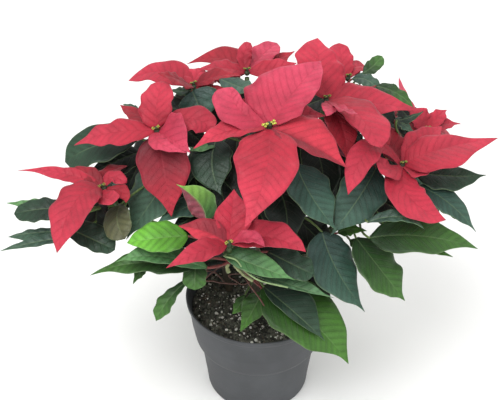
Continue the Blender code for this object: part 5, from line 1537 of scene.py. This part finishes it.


# Blade materials: scales per metre of the net of small veins, the clouds, the grain and the gloss,
# how light the clouds and the net make the tint, where the painted shade of the quilting runs from
# the middle of the field between two veins towards the veins, and where the veins and the margin
# show and fade. The relief is its depth in mm and its strength, shared out to the veins, the net
# and the grain.
NET_SCALE = 300.0
CLOUD_SCALE = 55.0
GRAIN_SCALE = 900.0
GLOSS_SCALE = 120.0
CLOUD_SHADES = (0.84, 1.13)
NET_SHADE = 0.93
NET_WIDTH = 0.12
QUILT_SHADE_SPAN = (0.05, 0.5)
LATERAL_SPAN = (0.425, 0.5)
LATERAL_FADE = (1.0, 0.5)
MIDRIB_SPAN = (1.0, 0.3)
MIDRIB_FADE = (1.0, 0.6)
MARGIN_SPAN = (0.93, 1.0)
BLADE_RELIEF = (0.35, 0.8)
RELIEF_SHARES = (-0.9, 0.35, 0.25)
GLOSS_LESS, GLOSS_MORE = 0.06, 0.07
MIDDLE_OF_NOISE = (0.3, 0.7)

# Materials that take their colour from the mesh: darkest and lightest share of it, scale of the
# clouds per metre, depth of the grain in mm, and roughness.
SKINS = {
    "rib_skin": (0.85, 1.1, 160.0, 0.1, 0.6),
    "stem_bark": (0.75, 1.2, 240.0, 0.25, 0.6),
    "flower_skin": (0.85, 1.15, 500.0, 0.08, 0.5),
    "grain": (0.7, 1.15, 420.0, 0.3, 0.92),
}


class Paint:
    """A material in the making: its nodes are added one by one."""

    def __init__(self, name, **sockets):
        self.material = bpy.data.materials.new(name)
        self.material.use_nodes = True
        self.tree = self.material.node_tree
        self.shader = self.tree.nodes["Principled BSDF"]
        for socket, value in sockets.items():
            self.shader.inputs[socket.replace("_", " ")].default_value = value
        self.place = self.add("TexCoord", {}, "Object")

    def add(self, kind, inputs, output=0, **settings):
        """Add a node and give back one of its outputs."""
        node = self.tree.nodes.new("ShaderNode" + kind)
        for name, value in settings.items():
            setattr(node, name, value)
        for socket, value in inputs.items():
            if isinstance(value, bpy.types.NodeSocket):
                self.tree.links.new(value, node.inputs[socket])
            else:
                solid = (*value, 1.0) if isinstance(value, Vector) else value
                node.inputs[socket].default_value = solid
        return node.outputs[output]

    def mark(self, name, output="Fac"):
        """What the mesh stores under a name."""
        return self.add("Attribute", {}, output, attribute_name=name)

    def calc(self, operation, first, second=0.0, third=0.0):
        """One step of arithmetic."""
        return self.add("Math", {0: first, 1: second, 2: third}, operation=operation)

    def product(self, first, second):
        """Two values multiplied."""
        return self.calc("MULTIPLY", first, second)

    def span(self, value, start, end, low=0.0, high=1.0):
        """A smooth step from low at start to high at end."""
        inputs = {"Value": value, "From Min": start, "From Max": end, "To Min": low, "To Max": high}
        return self.add("MapRange", inputs, interpolation_type="SMOOTHSTEP")

    def speckle(self, scale, detail=3.0, roughness=0.55):
        """Cloudy noise from 0 to 1, with its scale per metre."""
        inputs = {"Vector": self.place, "Scale": scale, "Detail": detail, "Roughness": roughness}
        return self.add("TexNoise", inputs)

    def clouds(self, scale, low=0.0, high=1.0):
        """Cloudy noise with its middle spread from low to high."""
        return self.span(self.speckle(scale), *MIDDLE_OF_NOISE, low, high)

    def net(self, scale):
        """Distance to the nearest edge in a net of cells, with its scale per metre."""
        inputs = {"Vector": self.place, "Scale": scale}
        return self.add("TexVoronoi", inputs, feature="DISTANCE_TO_EDGE")

    def blend(self, share, first, second):
        """Mix of two colours."""
        inputs = {0: share, 6: first, 7: second}
        return self.add("Mix", inputs, 2, data_type="RGBA")

    def scaled(self, tint, factor):
        """A colour made lighter or darker."""
        return self.add("VectorMath", {0: tint, "Scale": factor}, operation="SCALE")

    def relief(self, height, depth, strength=1.0):
        """Bump with its depth in mm, joined to the shader."""
        inputs = {"Height": height, "Distance": depth * MM, "Strength": strength}
        self.tree.links.new(self.add("Bump", inputs), self.shader.inputs["Normal"])

    def finish(self, tint, roughness=None):
        """Join the colour and roughness to the shader."""
        self.tree.links.new(tint, self.shader.inputs["Base Color"])
        if roughness is not None:
            self.tree.links.new(roughness, self.shader.inputs["Roughness"])
        return self.material


def blade_material(name, under_share, vein, vein_shares, margin, margin_share, under, swell, roughness,
                   **sockets):
    """Living blade: its own tint with veins, a pale margin, clouds of colour and a fine net, with
    painted shade between the veins.
    """
    paint = Paint(name, **sockets)
    across = paint.mark("across")
    away = paint.calc("ABSOLUTE", across)
    clockwise = paint.calc("GREATER_THAN", across, 0.0)
    phase = paint.calc("FRACT", paint.calc("MULTIPLY_ADD", clockwise, VEIN_OFFSET, paint.mark("vein")))
    ridge = paint.calc("ABSOLUTE", paint.calc("SUBTRACT", phase, 0.5))
    lateral = paint.product(paint.span(ridge, *LATERAL_SPAN), paint.span(away, *LATERAL_FADE))
    midrib = paint.span(paint.calc("ABSOLUTE", paint.mark("reach")), *MIDRIB_SPAN)
    midrib = paint.product(midrib, paint.span(paint.mark("along"), *MIDRIB_FADE))
    net = paint.span(paint.net(NET_SCALE), 0.0, NET_WIDTH)
    body = paint.scaled(paint.mark("tint", "Color"), paint.clouds(CLOUD_SCALE, *CLOUD_SHADES))
    # Painted shade of the quilting: each field between two veins is lighter in its middle and darker
    # towards the veins, by swell.
    body = paint.scaled(body, paint.span(ridge, *QUILT_SHADE_SPAN, 1.0 + swell, 1.0 - swell))
    body = paint.scaled(body, paint.span(net, 0.0, 1.0, NET_SHADE, 1.0))
    body = paint.blend(under_share, body, under)
    for line, share in zip((lateral, midrib), vein_shares):
        body = paint.blend(paint.product(line, share), body, vein)
    edge = paint.product(paint.span(away, *MARGIN_SPAN), margin_share)
    body = paint.blend(edge, body, margin)
    vein_share, net_share, grain_share = RELIEF_SHARES
    height = paint.calc("MULTIPLY_ADD", lateral, vein_share, paint.product(net, net_share))
    height = paint.calc("MULTIPLY_ADD", paint.speckle(GRAIN_SCALE, 2.0), grain_share, height)
    paint.relief(height, *BLADE_RELIEF)
    gloss = paint.clouds(GLOSS_SCALE, roughness - GLOSS_LESS, roughness + GLOSS_MORE)
    return paint.finish(body, gloss)


def two_sided(name, under_share, **looks):
    """Materials of the upper side and the underside of a blade."""
    return [blade_material(name + "_face", 0.0, **looks),
            blade_material(name + "_underside", under_share, **looks)]


def tinted_material(name, dark, light, scale, depth, roughness):
    """Material that takes its colour from the mesh, with clouds and a fine grain."""
    paint = Paint(name, Roughness=roughness)
    tint = paint.scaled(paint.mark("tint", "Color"), paint.clouds(scale, dark, light))
    paint.relief(paint.speckle(scale * 5.0), depth)
    return paint.finish(tint)


def soil_material():
    """Dark damp peat with paler crumbs."""
    paint = Paint("potting_soil", Roughness=0.96)
    coarse = paint.span(paint.speckle(160.0, 5.0), 0.35, 0.7)
    fine = paint.span(paint.speckle(700.0, 3.0), 0.5, 0.8)
    tint = paint.blend(coarse, colour(36, 37, 33), colour(96, 96, 86))
    tint = paint.blend(paint.product(fine, 0.5), tint, colour(98, 82, 66))
    paint.relief(paint.calc("ADD", paint.speckle(500.0, 4.0), coarse), 1.4)
    return paint.finish(tint)


def pot_material():
    """Matt grey plastic with a faint moulded grain, and paler dust in patches."""
    paint = Paint("pot_plastic", Specular_IOR_Level=0.35)
    clouds = paint.speckle(26.0, 4.0)
    tint = paint.blend(paint.span(clouds, 0.35, 0.7), colour(60, 62, 65), colour(74, 76, 79))
    scuffs = paint.span(paint.speckle(340.0, 4.0, 0.7), 0.62, 0.8)
    tint = paint.blend(paint.product(scuffs, 0.25), tint, colour(128, 130, 130))
    paint.relief(paint.speckle(1500.0, 2.0), 0.08)
    return paint.finish(tint, paint.span(clouds, *MIDDLE_OF_NOISE, 0.5, 0.62))


def floor_material():
    """Pale matt floor."""
    paint = Paint("pale_floor", Specular_IOR_Level=0.1)
    tint = paint.blend(paint.clouds(3.0), colour(238, 238, 236), colour(243, 243, 242))
    return paint.finish(tint, paint.clouds(40.0, 0.86, 0.94))


def make_materials():
    """All materials of the object by use."""
    materials = {name: tinted_material(name, *looks) for name, looks in SKINS.items()}
    # swell sets how strongly the painted shade of the quilting lightens and darkens each field between
    # veins.
    materials["bract"] = two_sided(
        "bract", 0.35, vein=colour(140, 30, 46), vein_shares=(0.07, 0.28),
        margin=colour(216, 96, 116), margin_share=0.12, under=colour(188, 74, 88), swell=0.05,
        roughness=0.58, Sheen_Weight=0.06, Sheen_Roughness=0.5, Specular_IOR_Level=0.25)
    materials["leaf"] = two_sided(
        "leaf", 0.5, vein=colour(140, 164, 118), vein_shares=(0.04, 0.16),
        margin=colour(160, 184, 132), margin_share=0.16, under=colour(110, 138, 96), swell=0.13,
        roughness=0.46, Specular_IOR_Level=0.28)
    return materials


# The studio: half the floor's width in mm, each light's place, size and power, the point that they
# look at, the strength of the light from all round, and the camera's lens and sensor in mm.
FLOOR_REACH = 5000.0
LIGHTS = {
    "key_light": ((-0.55, -0.75, 1.75), 1.1, 29.0),
    "fill_light": ((1.2, -0.9, 1.1), 1.2, 9.0),
    "back_light": ((0.3, 1.3, 1.5), 1.2, 9.0),
}
LIGHT_AIM = Vector((0.0, 0.0, 0.25))
WORLD_STRENGTH = 0.75
LENS = 57.6
SENSOR_WIDTH = 36.0


def stage():
    """The floor, the lights and the camera."""
    corners = [Vector((x, y, 0.0)) * FLOOR_REACH for x, y in ((-1, -1), (1, -1), (1, 1), (-1, 1))]
    floor = new_object("floor", new_mesh("floor", corners, [(0, 1, 2, 3)]))
    floor.data.materials.append(floor_material())
    for name, (place, size, power) in LIGHTS.items():
        add_light(name, Vector(place), size, power)
    world = bpy.data.worlds.new("studio")
    world.use_nodes = True
    background = world.node_tree.nodes["Background"]
    background.inputs["Color"].default_value = (1.0, 1.0, 1.0, 1.0)
    background.inputs["Strength"].default_value = WORLD_STRENGTH
    bpy.context.scene.world = world
    lens = bpy.data.cameras.new("camera")
    lens.sensor_width = SENSOR_WIDTH
    lens.lens = LENS
    camera = new_object("camera", lens)
    camera.location = VIEWER * MM
    camera.rotation_euler = (math.radians(90.0) - VIEW_TILT, 0.0, 0.0)
    bpy.context.scene.camera = camera
    bpy.context.scene.view_settings.view_transform = "Standard"


def add_light(name, place, size, power):
    """A soft square light that looks at the middle of the plant."""
    lamp = bpy.data.lights.new(name, "AREA")
    lamp.size = size
    lamp.energy = power
    light = new_object(name, lamp)
    light.location = place
    light.rotation_euler = (LIGHT_AIM - place).to_track_quat("-Z", "Y").to_euler()


def with_looks(drawn, ruled, tones, rng):
    """The blades of a kind with their looks, as pairs. Those placed by rule get their tones here."""
    for blade in ruled:
        blade.tone = rng.choice(tones)
    return [(blade, Look(rng, blade.tone)) for blade in drawn + ruled]


def lay_out(heads):
    """All blades with their looks, bent clear as in the solids."""
    garden = Garden()
    garden.add("pot", turned(pot_profile(), POT_SIDES))
    for name in CUTTINGS:
        for solid in stem_solids(name, heads):
            garden.add("plant_" + name, solid, solid)
    for head in heads.values():
        garden.add("bracts_" + head.name, knob(head))
        for solid in cups(head):
            garden.add("cyathia_" + head.name, solid)
    bracts = drawn_bracts(heads, garden)
    leaves = drawn_leaves(heads, garden)
    garden.freeze_view()
    rng = random.Random(SEED)
    more_bracts = ruled_blades(heads, garden, bract_rule, HEAD_BRACTS, False, rng)
    more_leaves = ruled_blades(heads, garden, leaf_rule, HEAD_LEAVES, True, rng)
    looks = random.Random(SEED + 1)
    pairs = with_looks(bracts, more_bracts, RULED_BRACT_TONES, looks)
    return pairs + with_looks(leaves, more_leaves, RULED_LEAF_TONES, looks)


# The small flowers show fully on the head in the middle, and are smaller and dimmer on the others.
FLOWER_LOOKS = {"01": (1.15, 1.0), "02": (0.7, 0.7), "09": (0.7, 0.7)}
OTHER_FLOWER_LOOK = (0.65, 0.42)
KNOB_SHARE = 0.6
FINE_BALL = (20, 12)

# A raised midrib has the blade's own tint at this place, lightened or mixed with green.
RIB_TINT_PLACE = (0.4, 0.5)
BRACT_RIB_LIGHTER = 1.05
LEAF_RIB_GREENER = 0.3
RED_PETIOLES = 0.45


def dress_heads(heads, pairs, materials):
    """Bracts and small flowers of every head."""
    rng = random.Random(SEED + 2)
    radius = KNOB_RADIUS * KNOB_SHARE
    for head in heads.values():
        sheet = Sheet()
        rods = Rods()
        rods.add(ball(head.middle, head.axis, radius, radius, *FINE_BALL), KNOB_COLOUR)
        for blade, look in pairs:
            if blade.owner == "bracts_" + head.name:
                sheet.add(blade, look)
                rods.add(midrib_rod(blade), look.tint(*RIB_TINT_PLACE) * BRACT_RIB_LIGHTER)
        name = "head_" + head.name
        sheet_piece(name + "_bracts", sheet, materials["bract"], ["bracts_" + head.name])
        rod_piece(name + "_ribs", rods, materials["rib_skin"])
        size, bright = FLOWER_LOOKS.get(head.name, OTHER_FLOWER_LOOK)
        cluster = flower_cluster(head, size, bright, rng)
        rod_piece(name + "_flowers", cluster, materials["flower_skin"],
                  ["cyathia_" + head.name])


def dress_cuttings(heads, pairs, materials):
    """Stems, petioles and leaves of every cutting."""
    rng = random.Random(SEED + 3)
    for name in CUTTINGS:
        sheet = Sheet()
        rods = Rods()
        rods.add(trunk_rod(name), STEM_BROWN)
        for head in heads.values():
            if head.cutting == name:
                rods.add(*branch_rod(head, rng))
        for blade, look in pairs:
            if blade.owner == "plant_" + name:
                sheet.add(blade, look)
                red = rng.random() < RED_PETIOLES
                rods.add(petiole_rod(blade), PETIOLE_RED if red else PETIOLE_GREEN)
                tint = look.tint(*RIB_TINT_PLACE).lerp(PETIOLE_GREEN, LEAF_RIB_GREENER)
                rods.add(midrib_rod(blade), tint)
        leaf_name = "cutting_" + name + "_leaves"
        sheet_piece(leaf_name, sheet, materials["leaf"], ["plant_" + name])
        rod_piece("cutting_" + name + "_stems", rods, materials["stem_bark"])
    rod_piece("bare_stalks", bare_stalks(heads, rng), materials["stem_bark"])


def dress_pot(materials):
    """The pot, its soil and what lies on the soil."""
    rng = random.Random(SEED + 4)
    new_piece("pot_shell", pot_mesh(), [pot_material()], ["pot"])
    new_piece("soil_bed", soil_mesh(), [soil_material()], ["soil"])
    rod_piece("soil_crumbs", scattered(*CRUMBS, rng), materials["grain"])
    rod_piece("perlite", scattered(*PERLITE, rng), materials["grain"])
    rod_piece("soil_fibres", fibres(rng), materials["grain"])


def main():
    """Dress the whole plant."""
    stage()
    heads = make_heads()
    pairs = lay_out(heads)
    materials = make_materials()
    dress_pot(materials)
    dress_cuttings(heads, pairs, materials)
    dress_heads(heads, pairs, materials)


main()
